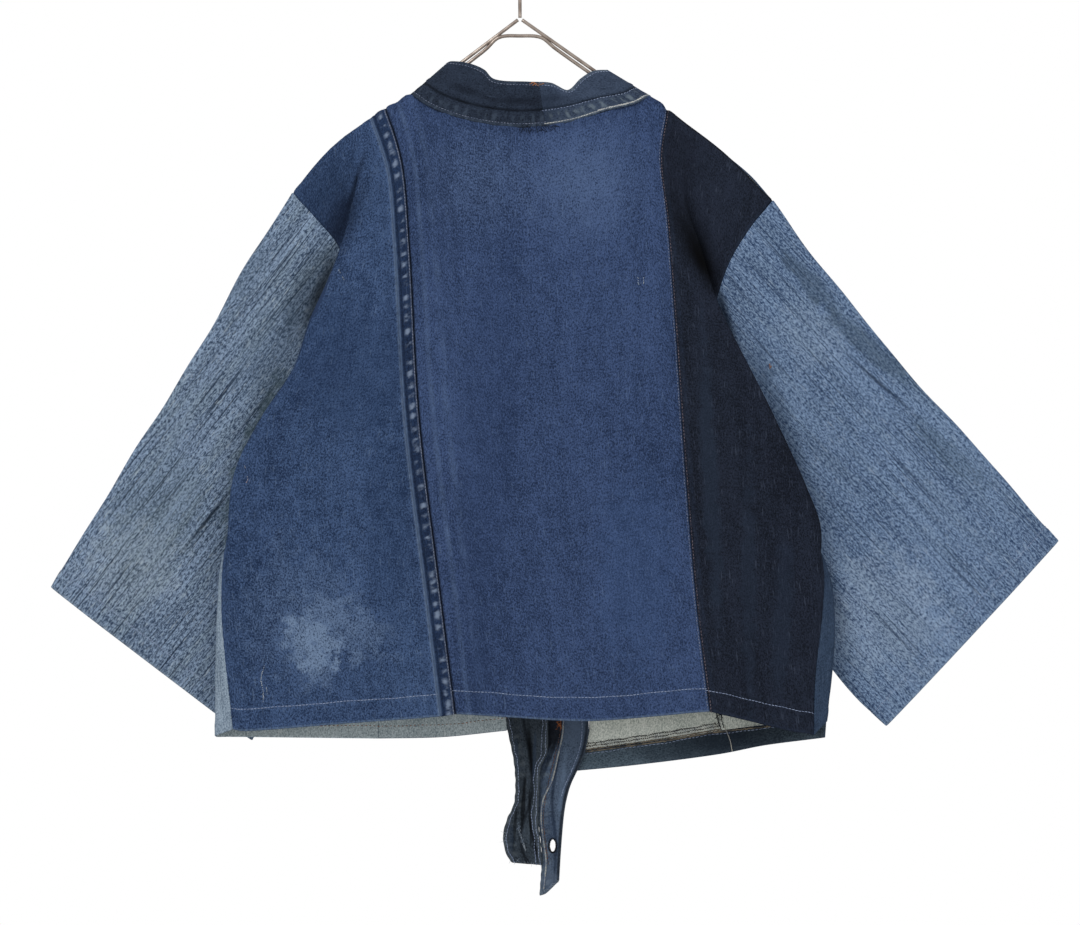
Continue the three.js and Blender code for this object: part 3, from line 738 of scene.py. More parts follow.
def new_group(name, inputs, outputs):
    """A node group with its inputs (name, socket type, default) and outputs (name, socket type)."""
    tree = bpy.data.node_groups.new(name, "ShaderNodeTree")
    for label, kind, value in inputs:
        socket = tree.interface.new_socket(name=label, in_out="INPUT", socket_type=kind)
        socket.default_value = value
    for label, kind in outputs:
        tree.interface.new_socket(name=label, in_out="OUTPUT", socket_type=kind)
    return tree, tree.nodes.new("NodeGroupInput").outputs, tree.nodes.new("NodeGroupOutput").inputs


VALUE, VECTOR, COLOUR = "NodeSocketFloat", "NodeSocketVector", "NodeSocketColor"


def denim_group():
    """Worn denim: a salt and pepper grain, soft bands and thin dark lines along the warp, slow fading."""
    tree, given, result = new_group(
        "worn denim",
        [("Place", VECTOR, (0, 0, 0)), ("Deep", COLOUR, paint("#202f48")), ("Worn", COLOUR, paint("#445a81")),
         ("Pale", COLOUR, paint("#9fb0c4")), ("Turn", VALUE, 0.0), ("Grain", VALUE, 0.5), ("Bands", VALUE, 0.3),
         ("Lines", VALUE, 0.0), ("Slubs", VALUE, 0.4), ("Mottle", VALUE, 0.5), ("Bleach", VALUE, 0.0),
         ("Along", VALUE, 700.0), ("Tint", COLOUR, paint("#52656a")), ("Tinted", VALUE, 0.0)],
        [("Colour", COLOUR), ("Height", VALUE), ("Rough", VALUE)],
    )
    turned = node(tree, "ShaderNodeVectorRotate", {"Vector": given["Place"], "Angle": given["Turn"]},
                  rotation_type="Z_AXIS").outputs[0]

    def pattern(across, along, shift, detail, roughness=0.5, distortion=0.0):
        """Noise stretched along the warp, with its cells across and along a metre of cloth."""
        stretched = scaled(tree, turned, (across, along, 1), shift=(*shift, 0))
        return noise(tree, stretched, detail, roughness, distortion)

    def centred(value, gain):
        return times(tree, minus(tree, value, 0.5), gain)

    weave = vector_maths(tree, "MULTIPLY", turned, combined(tree, 900.0, given["Along"], 1.0))
    grain = noise(tree, weave, 3.0, 0.8)
    clumps = noise(tree, vector_maths(tree, "MULTIPLY", weave, (0.75, 0.66, 1.0)), 2.0, 0.6)
    twill = noise(tree, scaled(tree, turned, (1500, 260, 1), turn=math.radians(33)), 1.0)
    bands = pattern(62, 7, (1, 5), 3.0, 0.6, 0.5)
    threads = pattern(760, 9, (3, 7), 1.0)
    crowd = pattern(60, 6, (7, 1), 1.0)
    streaks = pattern(430, 7, (9, 2), 2.0, 0.6)
    slub = pattern(640, 70, (4, 9), 1.0)
    mottle = pattern(90, 60, (2, 4), 4.0, 0.75)
    fade = pattern(9, 5, (8, 3), 2.0)
    tint = pattern(64, 8, (11, 6), 3.0, 0.6)

    wear = plus(tree, times(tree, given["Bleach"], 0.3), 0.5)
    for value, amount, gain in (
        (grain, "Grain", 4.4), (clumps, "Grain", 3.0), (twill, "Grain", 1.2), (bands, "Bands", 2.4),
        (streaks, "Lines", 1.5), (mottle, "Mottle", 1.9), (fade, "Mottle", 1.4),
    ):
        wear = plus(tree, wear, centred(value, times(tree, given[amount], gain)))
    wear = ramp(tree, wear, -0.15, 1.15)
    worn = mix_colour(tree, given["Bleach"], given["Worn"], given["Pale"])
    colour = mix_colour(tree, wear, given["Deep"], worn)
    tinted = times(tree, ramp(tree, tint, 0.46, 0.62), given["Tinted"])
    colour = mix_colour(tree, tinted, colour, mix_colour(tree, wear, given["Deep"], given["Tint"]))
    lines = times(tree, ramp(tree, plus(tree, threads, centred(crowd, 0.22)), 0.60, 0.70),
                  given["Lines"], clamp=True)
    colour = mix_colour(tree, lines, colour, mix_colour(tree, 0.4, given["Deep"], (0, 0, 0, 1)))
    slubs = times(tree, ramp(tree, slub, 0.62, 0.76), given["Slubs"], clamp=True)
    tree.links.new(mix_colour(tree, slubs, colour, given["Pale"]), result["Colour"])
    height = plus(tree, times(tree, grain, 0.6), times(tree, slubs, 0.5))
    height = plus(tree, height, times(tree, twill, 0.4))
    height = minus(tree, height, times(tree, lines, 0.6))
    tree.links.new(height, result["Height"])
    tree.links.new(plus(tree, times(tree, wear, 0.06), 0.86), result["Rough"])
    return tree


def mark_group():
    """A patch with a ragged outline: 1 inside an oval at Centre, 0 outside it."""
    tree, given, result = new_group(
        "ragged patch",
        [("Place", VECTOR, (0, 0, 0)), ("Centre", VECTOR, (0, 0, 0)), ("Size", VECTOR, (1, 1, 1)),
         ("Angle", VALUE, 0.0), ("Ragged", VALUE, 0.5), ("Core", VALUE, 0.45), ("Grain", VALUE, 120.0)],
        [("Mask", VALUE)],
    )
    away = vector_maths(tree, "SUBTRACT", given["Place"], given["Centre"])
    away = node(tree, "ShaderNodeVectorRotate", {"Vector": away, "Angle": given["Angle"]},
                rotation_type="Y_AXIS").outputs[0]
    away = vector_maths(tree, "DIVIDE", away, given["Size"])
    reach = node(tree, "ShaderNodeVectorMath", {0: away}, operation="LENGTH").outputs["Value"]
    rough = node(tree, "ShaderNodeTexNoise", {"Vector": given["Place"], "Scale": given["Grain"], "Detail": 4.0,
                                              "Roughness": 0.65}).outputs[0]
    rough = times(tree, minus(tree, rough, 0.5), given["Ragged"])
    reach = plus(tree, reach, times(tree, rough, 2.6))
    tree.links.new(ramp(tree, reach, given["Core"], 1.0, 1.0, 0.0), result["Mask"])
    return tree


def roping_and_shade_group():
    """Wear beside a seam or hem: pale blobs where the folded edge stands up, dark between them. Some materials also
    use it for painted shade in grooves and painted shadow lines beside seams.
    """
    tree, given, result = new_group(
        "roping_and_shade",
        [("Away", VALUE, 0.0), ("Along", VALUE, 0.0), ("Centre", VALUE, 0.0), ("Reach", VALUE, 0.004),
         ("Pitch", VALUE, 0.009), ("Even", VALUE, 0.3)],
        [("Mask", VALUE)],
    )
    from_centre = maths(tree, "ABSOLUTE", minus(tree, given["Away"], given["Centre"]))
    band = ramp(tree, divided(tree, from_centre, given["Reach"]), 0.1, 1.0, 1.0, 0.0)
    steps = divided(tree, given["Along"], given["Pitch"])
    uneven = noise(tree, combined(tree, times(tree, steps, 1.3), times(tree, given["Away"], 90.0)), 3.0, 0.6)
    uneven = minus(tree, uneven, 0.5)
    drift = times(tree, noise(tree, combined(tree, times(tree, steps, 0.3)), 1.0), 9.0)
    wave = maths(tree, "SINE", plus(tree, times(tree, steps, 2 * math.pi), drift))
    blobs = plus(tree, times(tree, wave, 0.2), times(tree, uneven, 2.6))
    blobs = ramp(tree, blobs, -0.1, 0.5)
    blobs = plus(tree, times(tree, blobs, minus(tree, 1.0, given["Even"])), given["Even"])
    tree.links.new(times(tree, band, blobs), result["Mask"])
    return tree


worn_denim, ragged_patch, roping_and_shade = denim_group(), mark_group(), roping_and_shade_group()
SOFT_MARK = 0.3  # marks less ragged than this fade out from the middle


def group(tree, which, inputs):
    return node(tree, "ShaderNodeGroup", inputs, node_tree=which).outputs


def new_material(name, rough=0.9, gloss=0.5):
    made = bpy.data.materials.new(name)
    made.use_nodes = True
    made.node_tree.nodes.clear()
    tree = made.node_tree
    shader = node(tree, "ShaderNodeBsdfPrincipled", {"Roughness": rough, "Specular IOR Level": gloss})
    node(tree, "ShaderNodeOutputMaterial", {0: shader.outputs[0]})
    return made, tree, shader


def denim(name, deep, worn, pale="#7f90aa", turn=0.0, grain=0.5, bands=0.25, lines=0.0, slubs=0.3, mottle=0.4,
          edges=(), marks=(), bleach=(), along=700.0, tint="#52656a", tinted=0.0, bump_height=0.35):
    """A cloth material.

    Each edge is (map, side, centre, reach, pitch, evenness, strength, colour) and each mark is (x, z, width,
    height, angle, raggedness, strength, colour), all in mm and degrees. A bleached place is a mark without a
    colour, where the cloth is faded instead. Most edges and marks paint wear and dye; some paint shade and shadow.
    """
    made, tree, shader = new_material(name, gloss=0.1)
    cut = cut_map(tree, "cloth")
    spot = in_space(tree)

    def patch(x, z, width, tall, angle, ragged, strength):
        mask = group(tree, ragged_patch, {
            "Place": spot, "Centre": mm(x, 0, z), "Size": (width / 2 * MM, 1.0, tall / 2 * MM),
            "Angle": math.radians(angle), "Ragged": ragged, "Core": 0.0 if ragged < SOFT_MARK else 0.45,
            "Grain": 90.0})["Mask"]
        return times(tree, mask, strength)

    faded = 0.0
    for place in bleach:
        faded = plus(tree, patch(*place), faded, clamp=True)
    look = group(tree, worn_denim, {
        "Place": cut, "Deep": paint(deep), "Worn": paint(worn), "Pale": paint(pale), "Turn": math.radians(turn),
        "Grain": grain, "Bands": bands, "Lines": lines, "Slubs": slubs, "Mottle": mottle, "Bleach": faded,
        "Along": along, "Tint": paint(tint), "Tinted": tinted})
    colour = look["Colour"]
    along_cut = node(tree, "ShaderNodeSeparateXYZ", {0: cut}).outputs
    # edges lay wear along seams and hems, and some of them lay painted shadow lines and painted shade in grooves
    for uv_map, side, centre, reach, pitch, even, strength, shade in edges:
        distances = node(tree, "ShaderNodeSeparateXYZ", {0: cut_map(tree, uv_map)})
        mask = group(tree, roping_and_shade, {
            "Away": distances.outputs[side], "Along": along_cut[1 if uv_map == "sides" else 0],
            "Centre": centre * MM, "Reach": reach * MM, "Pitch": pitch * MM, "Even": even})["Mask"]
        colour = mix_colour(tree, times(tree, mask, strength), colour, paint(shade))
    for *place, shade in marks:
        colour = mix_colour(tree, patch(*place), colour, paint(shade))
    relief = node(tree, "ShaderNodeBump", {"Strength": 0.9, "Distance": bump_height * MM, "Height": look["Height"]})
    tree.links.new(colour, shader.inputs["Base Color"])
    tree.links.new(look["Rough"], shader.inputs["Roughness"])
    tree.links.new(relief.outputs[0], shader.inputs["Normal"])
    return made


# ------------------------------------------------------------------ materials

mid_blue = denim(
    "mid blue denim", "#1b2b47", "#4a6188", pale="#748aa9", grain=0.84, bands=0.16, slubs=0.28, mottle=0.75,
    edges=[
        ("ends", 1, 0.3, 1.8, 6, 0.5, 0.6, "#71869f"),
        ("ends", 1, HEM_DEPTH, 2.2, 9, 0.4, 0.2, "#62789a"),
        ("sides", 1, 0.6, 2.4, 12, 0.7, 0.7, "#7c90ac"),
        ("sides", 1, 8.0, 4.0, 40, 0.4, 0.3, "#1c2a45"),
    ],
    marks=[
        # painted shade: the dark triangle between the left shoulder and its fold, and a painted shadow line along
        # the fold
        (-172, -268, 120, 150, -30, 0.2, 0.5, "#1b2a42"),
        (-164, -296, 44, 130, -24, 0.1, 0.75, "#0f1728"),
        (-149.5, -262, 8, 112, -17, 0.1, 0.7, "#10192b"),
        (-150, -420, 150, 170, 0, 0.6, 0.35, "#223556"),
        (-118, -560, 60, 240, 3, 0.7, 0.25, "#223556"),
    ],
    bleach=[
        (-186, -668, 70, 56, -30, 0.8, 0.6), (-160, -655, 120, 70, -20, 0.8, 0.35),
        (-178, -690, 40, 50, 0, 0.7, 0.4), (-200, -640, 150, 150, 0, 0.8, 0.2),
    ],
)
mid_blue_wrong = denim(
    "mid blue denim, wrong side", "#54616e", "#8493a1", pale="#a9b3bb", grain=0.6,
    # painted shade in the gap between the left sleeve and the back panel
    marks=[(-182, -366, 34, 170, -21, 0.3, 1.0, "#2f3f5e")])
fell = denim(
    "felled seam", "#141f35", "#2c3f60", pale="#6d83a6", grain=0.5, slubs=0.2, mottle=0.5,
    edges=[
        ("sides", 0, 0.2, 1.6, 14, 0.7, 0.6, "#6d83a3"),
        ("sides", 0, 7.6, 3.9, 9.8, 0.0, 0.8, "#8494ad"),
        ("sides", 0, 3.0, 1.8, 30, 0.6, 0.6, "#0f1828"),
        ("sides", 1, 1.2, 1.2, 7, 0.6, 0.45, "#7f8798"),
        # painted shadow line along the felled seam's right edge
        ("sides", 1, 0.0, 0.8, 40, 1.0, 0.9, "#06090f"),
    ],
)
centre_blue = denim(
    "centre denim", "#1d2b46", "#475b84", pale="#667ca0", grain=0.74, bands=0.2, slubs=0.3, mottle=0.55,
    edges=[
        ("ends", 1, 0.3, 1.8, 6, 0.5, 0.6, "#6e829b"),
        ("ends", 1, 20.5, 2.2, 9, 0.4, 0.18, "#5c7293"),
        # painted shadow line at the left edge, beside the felled seam
        ("sides", 0, 0.3, 2.4, 60, 0.95, 0.85, "#0a0f1b"),
        ("sides", 0, 13.0, 4.0, 40, 0.45, 0.35, "#60769a"),
        ("sides", 0, 26.0, 6.0, 60, 0.2, 0.25, "#5d7397"),
        ("sides", 1, 1.0, 2.4, 9, 0.3, 0.25, "#4b5f80"),
        ("ends", 0, 3.0, 7.0, 14, 0.4, 0.35, "#1a2743"),
    ],
    marks=[
        (-28, -480, 70, 460, -4, 0.5, 0.22, "#26375a"),
        (104, -600, 90, 220, 0, 0.6, 0.22, "#415a86"),
        (-36, -690, 26, 110, 3, 0.6, 0.3, "#20304f"),
    ],
    bleach=[(-36, -250, 150, 150, 0, 0.25, 0.34), (56, -255, 150, 150, 0, 0.25, 0.34)],
)
dark_indigo = denim(
    "dark indigo denim", "#10151f", "#282f3f", pale="#4a5366", grain=0.8, bands=0.4, slubs=0.4, mottle=0.6,
    edges=[
        ("ends", 1, 0.5, 2.4, 6, 0.4, 0.35, "#2c3950"),
        ("sides", 0, 5.0, 2.6, 9, 0.4, 0.35, "#283449"),
        ("sides", 1, 1.0, 3.0, 8, 0.3, 0.3, "#35435c"),
    ],
    marks=[
        (170, -520, 20, 330, 3, 0.7, 0.4, "#2a3648"),
        (205, -610, 18, 240, 0, 0.8, 0.35, "#2a3547"),
        (235, -640, 24, 190, -3, 0.6, 0.35, "#273244"),
        (140, -230, 60, 90, 20, 0.6, 0.3, "#0b0f18"),
        # painted shadow: the next two marks are the black shade beside the right fold, above the armhole
        (156, -306, 46, 150, 25, 0.1, 0.8, "#05070c"),
        (163, -326, 26, 100, 27, 0.1, 1.0, "#010103"),
    ],
)
dark_wrong = denim("dark denim, wrong side", "#3d474f", "#5d6a72", pale="#8a9397", grain=0.6)
sleeve_blue_left = denim(
    "left sleeve denim", "#2d3e56", "#90a5c0", pale="#b3c1cd", turn=38, grain=0.8, bands=0.2, lines=0.85, slubs=0.6,
    mottle=0.2, along=380.0, tint="#8d9ea4", tinted=0.3,
    edges=[("ends", 1, 0.5, 2.4, 7, 0.4, 0.35, "#93a3b2"), ("ends", 1, CUFF_DEPTH, 2.0, 9, 0.4, 0.2, "#93a3b2")],
    marks=[
        (-262, -330, 70, 150, -33, 0.6, 0.3, "#46586a"),
        (-330, -560, 100, 160, -35, 0.6, 0.16, "#5b6a6a"),
        # painted shadow: the next two marks darken the sleeve along the armhole, next to the body
        (-188, -352, 44, 130, -26, 0.35, 0.45, "#222e38"),
        (-179, -350, 22, 120, -24, 0.1, 0.85, "#141b22"),
        (-238, -498, 40, 210, -20, 0.5, 0.6, "#45575a"),
        (-281, -556, 6, 92, -38, 0.1, 0.9, "#131e2c"),
        (-232, -470, 5, 70, -30, 0.1, 0.7, "#1a2836"),
        (-228, -410, 60, 120, -30, 0.6, 0.25, "#43566c"),
    ],
    bleach=[(-350, -600, 110, 120, -38, 0.7, 0.3)],
)
sleeve_blue_right = denim(
    "right sleeve denim", "#2e4365", "#88a1c2", pale="#a9bbd0", turn=-43, grain=0.76, bands=0.18, lines=0.62,
    slubs=0.45, mottle=0.24, along=420.0, tint="#7f93a4", tinted=0.25,
    edges=[("ends", 1, 0.5, 2.4, 7, 0.4, 0.35, "#8ba0b8"), ("ends", 1, CUFF_DEPTH, 2.0, 9, 0.4, 0.2, "#8ba0b8")],
    marks=[
        (262, -345, 24, 90, 42, 0.5, 0.5, "#3a4b5d"), (318, -404, 22, 150, 50, 0.5, 0.5, "#3a4b5d"),
        (388, -498, 26, 120, 48, 0.6, 0.3, "#40525f"), (324, -434, 5, 120, 49, 0.1, 0.8, "#1f2e44"),
        # the second mark on this line is a painted shadow where the sleeve meets the body
        (216, -420, 40, 60, 0, 0.7, 0.25, "#3a4e68"), (184, -372, 16, 130, 18, 0.1, 0.9, "#121c2b"),
        (236, -470, 26, 150, 20, 0.5, 0.3, "#2a3b52"), (226, -410, 4, 90, 42, 0.1, 0.6, "#22324a"),
    ],
    bleach=[(330, -640, 130, 150, 30, 0.7, 0.35), (262, -390, 70, 90, 40, 0.7, 0.2)],
)
sleeve_wrong = denim("sleeve denim, wrong side", "#5f6b77", "#8f9da9", pale="#b3bbc1", grain=0.6)
pale_denim = denim("pale front denim", "#5a6a7e", "#a6b8c9", pale="#b6c2cd", grain=0.6, bands=0.3, lines=0.3)
pale_wrong = denim(
    "pale front denim, wrong side", "#7d8c94", "#c9d6db", pale="#dde4e6", grain=0.7, bands=0.3, slubs=0.5,
    mottle=0.5)
front_blue = denim("front denim", "#1e2e47", "#3f5476", pale="#60769b", grain=0.5)
# painted light: this wrong side is given near-white colours to lighten it against the shade inside the front
green_wrong = denim(
    "front denim, wrong side", "#a3ada7", "#e8ede6", pale="#f2f5f0", grain=0.7, bands=0.3, slubs=0.5, mottle=0.5)
grey_blue = denim("grey blue denim", "#222f42", "#43556f", pale="#64768d", grain=0.5)
hem_dark = denim(
    "front hem band denim", "#2a3541", "#5f707e", pale="#7f8c99", grain=0.6,
    edges=[("sides", 1, 2.0, 3.0, 9, 0.3, 0.3, "#6b7a89")],
    # painted shadow: these marks darken the band's top where it lies under the back's hem
    marks=[(190, -752, 210, 90, 0, 0.2, 0.8, "#121924"), (150, -760, 160, 60, 0, 0.5, 0.35, "#1d2734")])


def waistband(name, deep, worn, edge, groove, edges=(), marks=(), puckered=0.4):
    """A doubled band: worn along its folded edges, with blobs of wear where it is puckered, and painted shade in
    the groove of its stitching.
    """
    return denim(
        name, deep, worn, pale="#55667f", grain=0.5, bands=0.2, slubs=0.2, mottle=0.65,
        edges=[
            ("sides", 0, 1.0, 2.6, 7, 0.3, 0.6, edge),
            ("sides", 1, 1.0, 2.6, 7, 0.3, 0.5, edge),
            ("sides", 0, 7.0, 6.5, 9, 0.0, puckered, edge),
            # painted shade in the stitched groove
            ("sides", 0, 15.5, 2.6, 30, 0.8, 0.8, groove),
            *edges,
        ], marks=marks)


navy_band = waistband("dark waistband", "#0d131e", "#303a4b", "#4a5768", "#070b12", puckered=0.45, marks=[
    # painted shade: dark bands along the collar above its groove
    (0, -182, 90, 14, 0, 0.25, 0.6, "#0b101a"), (-48, -172, 60, 12, -20, 0.25, 0.5, "#0b101a"),
])
blue_band = waistband("blue waistband", "#1a2434", "#455268", "#74828d", "#101722", puckered=0.6, marks=[
    # the first mark is painted shade along the collar above its groove
    (30, -180, 60, 14, 0, 0.25, 0.5, "#141c2a"), (22, -188, 44, 60, 0, 0.2, 0.6, "#222c3c"),
])
tie_navy = waistband(
    "dark loose end", "#0e141b", "#454f5a", "#606970", "#080c14",
    marks=[
        # the near-black marks are painted shade in the gutters and between the folds of the loose end
        (9, -764, 8, 76, 4, 0.2, 0.95, "#030509"), (13, -772, 4, 60, -2, 0.35, 0.5, "#2c3b50"),
        (3, -812, 5, 70, -4, 0.35, 0.8, "#04070c"), (9, -826, 3, 80, 2, 0.35, 0.75, "#05080d"),
        (-5, -838, 4, 50, -5, 0.35, 0.6, "#05080d"), (12, -846, 4, 46, 12, 0.35, 0.8, "#05080d"),
        (-3, -770, 4, 40, 2, 0.5, 0.35, "#2f3f57"), (-8, -846, 6, 30, 0, 0.5, 0.35, "#2b3a50"),
    ])
tie_blue_cloth = waistband(
    "blue loose end", "#1f2936", "#58687f", "#76828c", "#182234",
    edges=[("sides", 1, 1.4, 3.0, 60, 0.9, 0.9, "#0a0e17")],
    marks=[
        # painted shade on the stepped-back inner strip
        (22, -770, 10, 60, -18, 0.3, 0.6, "#1a2639"), (27, -772, 5, 50, -20, 0.3, 0.7, "#0d1421"),
        # painted light: lightens the top of the band where the back's hem shades it
        (50, -744, 26, 30, 0, 0.2, 0.8, "#5d6d86"),
        # the first mark on this line is painted shade at the top of the inner strip
        (30, -748, 18, 44, -10, 0.5, 0.85, "#14151b"), (38, -800, 6, 80, -6, 0.6, 0.35, "#6b7f99"),
        (27, -880, 16, 30, 0, 0.6, 0.4, "#66758a"), (28, -838, 12, 40, 0, 0.6, 0.3, "#23314a"),
    ])
band_wrong = denim("band, wrong side", "#2f3945", "#56636f", pale="#7d8890", grain=0.6)


# ------------------------------------------------------------------ the cloth pieces

def folded(place, height, folds):
    """Adds folds to a relief, each (start, end, width, height)."""
    for fold in folds:
        height = height + crease(place, *fold)
    return height


BACK_FOLDS = [
    ((-118, -235), (-205, -520), 15, 2.2), ((-150, -260), (-222, -560), 12, -1.6),
    ((-33, -590), (-37, -760), 8, 2.4), ((-50, -600), (-56, -760), 9, -1.0),
    ((126, -235), (196, -520), 14, 1.6), ((104, -210), (96, -430), 13, 1.4),
    ((-75, -205), (-64, -420), 13, 1.3), ((30, -215), (48, -420), 20, 1.0),
    ((72, -540), (80, -760), 16, 1.1), ((150, -430), (176, -760), 10, 1.0),
    ((196, -500), (216, -760), 9, -1.1), ((-130, -520), (-140, -760), 16, 1.2),
]
LEFT_SLEEVE_FOLDS = [
    ((-215, -330), (-300, -640), 17, 2.6), ((-238, -300), (-370, -560), 18, 2.2),
    ((-196, -400), (-250, -700), 14, -2.2), ((-212, -520), (-262, -720), 10, 1.6),
]
RIGHT_SLEEVE_FOLDS = [
    ((226, -330), (330, -560), 18, 2.6), ((244, -300), (420, -520), 20, 1.8),
    ((206, -420), (300, -700), 14, -2.2), ((240, -520), (330, -700), 13, 1.9),
]


def back_relief(place):
    """What the three back panels share: hanging waves, and folds from the shoulders and the collar."""
    return folded(place, slack(place, 1.1, 3) + hem_relief(place), BACK_FOLDS)


def left_panel_relief(place):
    return back_relief(place) + seam_relief(place.right, place.v) + seam_relief(place.left, place.v)


def centre_relief(place):
    gathers = pucker(place.u, place.top, 21, 26, 0.8, 2.1)
    return back_relief(place) + seam_relief(place.left, place.v) + seam_relief(place.right, place.v) + gathers


def dark_relief(place):
    return back_relief(place) + seam_relief(place.left, place.v, 8) + seam_relief(place.right, place.v)


def fell_relief(place):
    across = place.left / np.maximum(place.left + place.right, 1e-6)
    puffed = 0.9 * np.sin(np.clip(across, 0, 1) * math.pi) ** 0.6
    channel = -0.75 * bump(across - 0.28, 0.08) - 0.4 * bump(across - 0.9, 0.06)
    blobs = pucker(place.v, place.left - 8.3, 10.2, 4.5, 0.45, 0.8)
    return back_relief(place) + puffed + channel + blobs


def front_relief(place):
    return slack(place, 1.0, 8) * (1 - bump(place.top, 40)) + hem_relief(place, FRONT_HEM_DEPTH)


def band_relief(place):
    return slack(place, 0.6, 5) + pucker(place.v, place.left, 9, 6, 0.35, 1.1)


def collar_relief(place):
    """Two grooves of stitching and, below the lower one, the puckers of a worn waistband."""
    edge_rows = -0.5 * bump(place.right - 3, 1.1) - 0.5 * bump(place.left - 3.5, 1.1)
    groove = -1.5 * bump(place.left - 15.5, 1.7) + 0.7 * bump(place.left - 19.5, 2.4)
    puckers = pucker(place.v, place.left - 7, 8.2, 6.5, 0.7, 2.2)
    waves = 0.7 * np.sin(place.v / 19.0 + 0.8) * bump(place.right, 12)
    return slack(place, 0.8, 12) + edge_rows + groove + puckers + waves


def tie_relief(place):
    gutter = -1.6 * bump(place.left - 9, 2.6) - 1.0 * bump(place.left - 18, 2.0)
    return slack(place, 1.1, 15) + gutter + pucker(place.v, place.left, 10, 7, 0.5, 0.3)


def sleeve_relief(folds):
    """Soft folds from the armhole towards the cuff, and the turned cuff."""
    return lambda place: folded(place, slack(place, 1.3, 21) + hem_relief(place, CUFF_DEPTH), folds)


cloth("left_back_cloth", "back_left_panel", back_left, (0, 5), [mid_blue, mid_blue_wrong], -1,
      left_panel_relief, grain=0.6)
cloth("felled_seam_cloth", "back_felled_seam", back_left, (5, 6), [fell, fell], -1, fell_relief,
      thickness=FELLED, lift=0.25, steps=(1.6, 2.2))
cloth("centre_back_cloth", "back_centre_panel", back_centre, (0, 6), [centre_blue, mid_blue_wrong], -1,
      centre_relief, grain=0.5)
cloth("right_back_cloth", "back_right_panel", back_right, (0, 5), [dark_indigo, dark_wrong], -1,
      dark_relief)
cloth("left_front_side_cloth", "front_left_side_panel", front_strip_left, (0, 3), [pale_denim, pale_wrong], 1,
      front_relief)
cloth("left_front_cloth", "front_left_panel", front_left, (0, 2), [front_blue, pale_wrong], 1,
      front_relief)
cloth("right_front_side_cloth", "front_right_side_panel", front_strip_right, (0, 3), [grey_blue, green_wrong], 1,
      front_relief)
cloth("right_front_cloth", "front_right_panel", front_right, (0, 2), [front_blue, green_wrong], 1,
      front_relief)
cloth("front_hem_band_cloth", "front_right_hem_band", hem_band, (0, 1), [grey_blue, hem_dark], 1,
      lambda place: slack(place, 0.8, 9), steps=(2.0, 3.0))
cloth("left_band_cloth", "front_left_band", band_left, (0, 2), [navy_band, tie_navy], 1,
      band_relief, thickness=WAISTBAND)
cloth("right_band_cloth", "front_right_band", band_right, (0, 2), [blue_band, tie_blue_cloth], 1,
      band_relief, thickness=WAISTBAND)


BUTTONHOLE = (29.5, -852)


def cut_oval(piece, centre, half_width, half_height, sides=32, reach=(-20, 60)):
    """Cuts an oval hole right through a cloth piece, straight from back to front."""
    turns = [2 * math.pi * k / sides for k in range(sides)]
    ring = [(centre[0] + half_width * math.cos(t), centre[1] + half_height * math.sin(t)) for t in turns]
    corners = [mm(x, y, z) for y in reach for x, z in ring]
    walls = [(k, (k + 1) % sides, sides + (k + 1) % sides, sides + k) for k in range(sides)]
    mesh = bpy.data.meshes.new("oval")
    mesh.from_pydata(corners, [], [*walls, tuple(range(sides))[::-1], tuple(range(sides, 2 * sides))])
    face_outwards(mesh)
    cutter = link("oval", mesh)
    cut = piece.modifiers.new("hole", "BOOLEAN")
    cut.operation, cut.solver, cut.object = "DIFFERENCE", "EXACT", cutter
    apply_modifier(piece, cut)
    bpy.data.objects.remove(cutter)
    bpy.data.meshes.remove(mesh)


def collar_part(first, last):
    """The collar between two shares of its length."""
    return lambda stations, v: collar(stations, first + (last - first) * np.asarray(v))


cloth("dark_collar_half", "collar_left", collar_part(0, COLLAR_JOIN), (0, 2), [navy_band, band_wrong], -1,
      collar_relief, thickness=WAISTBAND, steps=COLLAR_STEPS)
cloth("blue_collar_half", "collar_right", collar_part(COLLAR_JOIN, 1), (0, 2), [blue_band, band_wrong], -1,
      collar_relief, thickness=WAISTBAND, steps=COLLAR_STEPS)
cloth("dark_loose_end", "tie_left", tie_dark, (0, 2), [tie_navy, tie_navy], -1, tie_relief,
      thickness=WAISTBAND, steps=TIE_STEPS)
blue_loose_end = cloth(
    "blue_loose_end", "tie_right", tie_blue, (0, 2), [tie_blue_cloth, tie_blue_cloth], -1,
    lambda place: slack(place, 1.0, 16) + pucker(place.v, place.left, 9, 6, 0.4, 0.6), thickness=WAISTBAND,
    steps=TIE_STEPS)
cut_oval(blue_loose_end, BUTTONHOLE, 2.6, 5.6)
cloth("left_sleeve_cloth", "sleeve_left", sleeve_left, (0, 2), [sleeve_blue_left, sleeve_wrong], -1,
      sleeve_relief(LEFT_SLEEVE_FOLDS), closed=True)
cloth("right_sleeve_cloth", "sleeve_right", sleeve_right, (0, 2), [sleeve_blue_right, sleeve_wrong], -1,
      sleeve_relief(RIGHT_SLEEVE_FOLDS), closed=True)


# ------------------------------------------------------------------ stitches, overlocking and frayed yarn

def line_on(name, edge, distance, first=0.0, last=1.0, side=1):
    """Points on a cloth piece at a distance in mm from one of its edges; side is -1 for the wrong side."""
    grid, normal, place, thickness = grids[name]
    table = getattr(place, edge)[:, :grid.shape[1]]
    skin = grid + normal * side * (thickness / 2 + THREAD_LIFT) * MM
    if edge in ("top", "hem"):
        table, skin = table.T, skin.transpose(1, 0, 2)
    if edge in ("right", "hem"):
        table, skin = table[:, ::-1], skin[:, ::-1]
    rows = range(int(first * (len(table) - 1)), int(last * (len(table) - 1)) + 1)
    return np.array([[np.interp(distance, table[r], skin[r, :, k]) for k in range(3)] for r in rows])


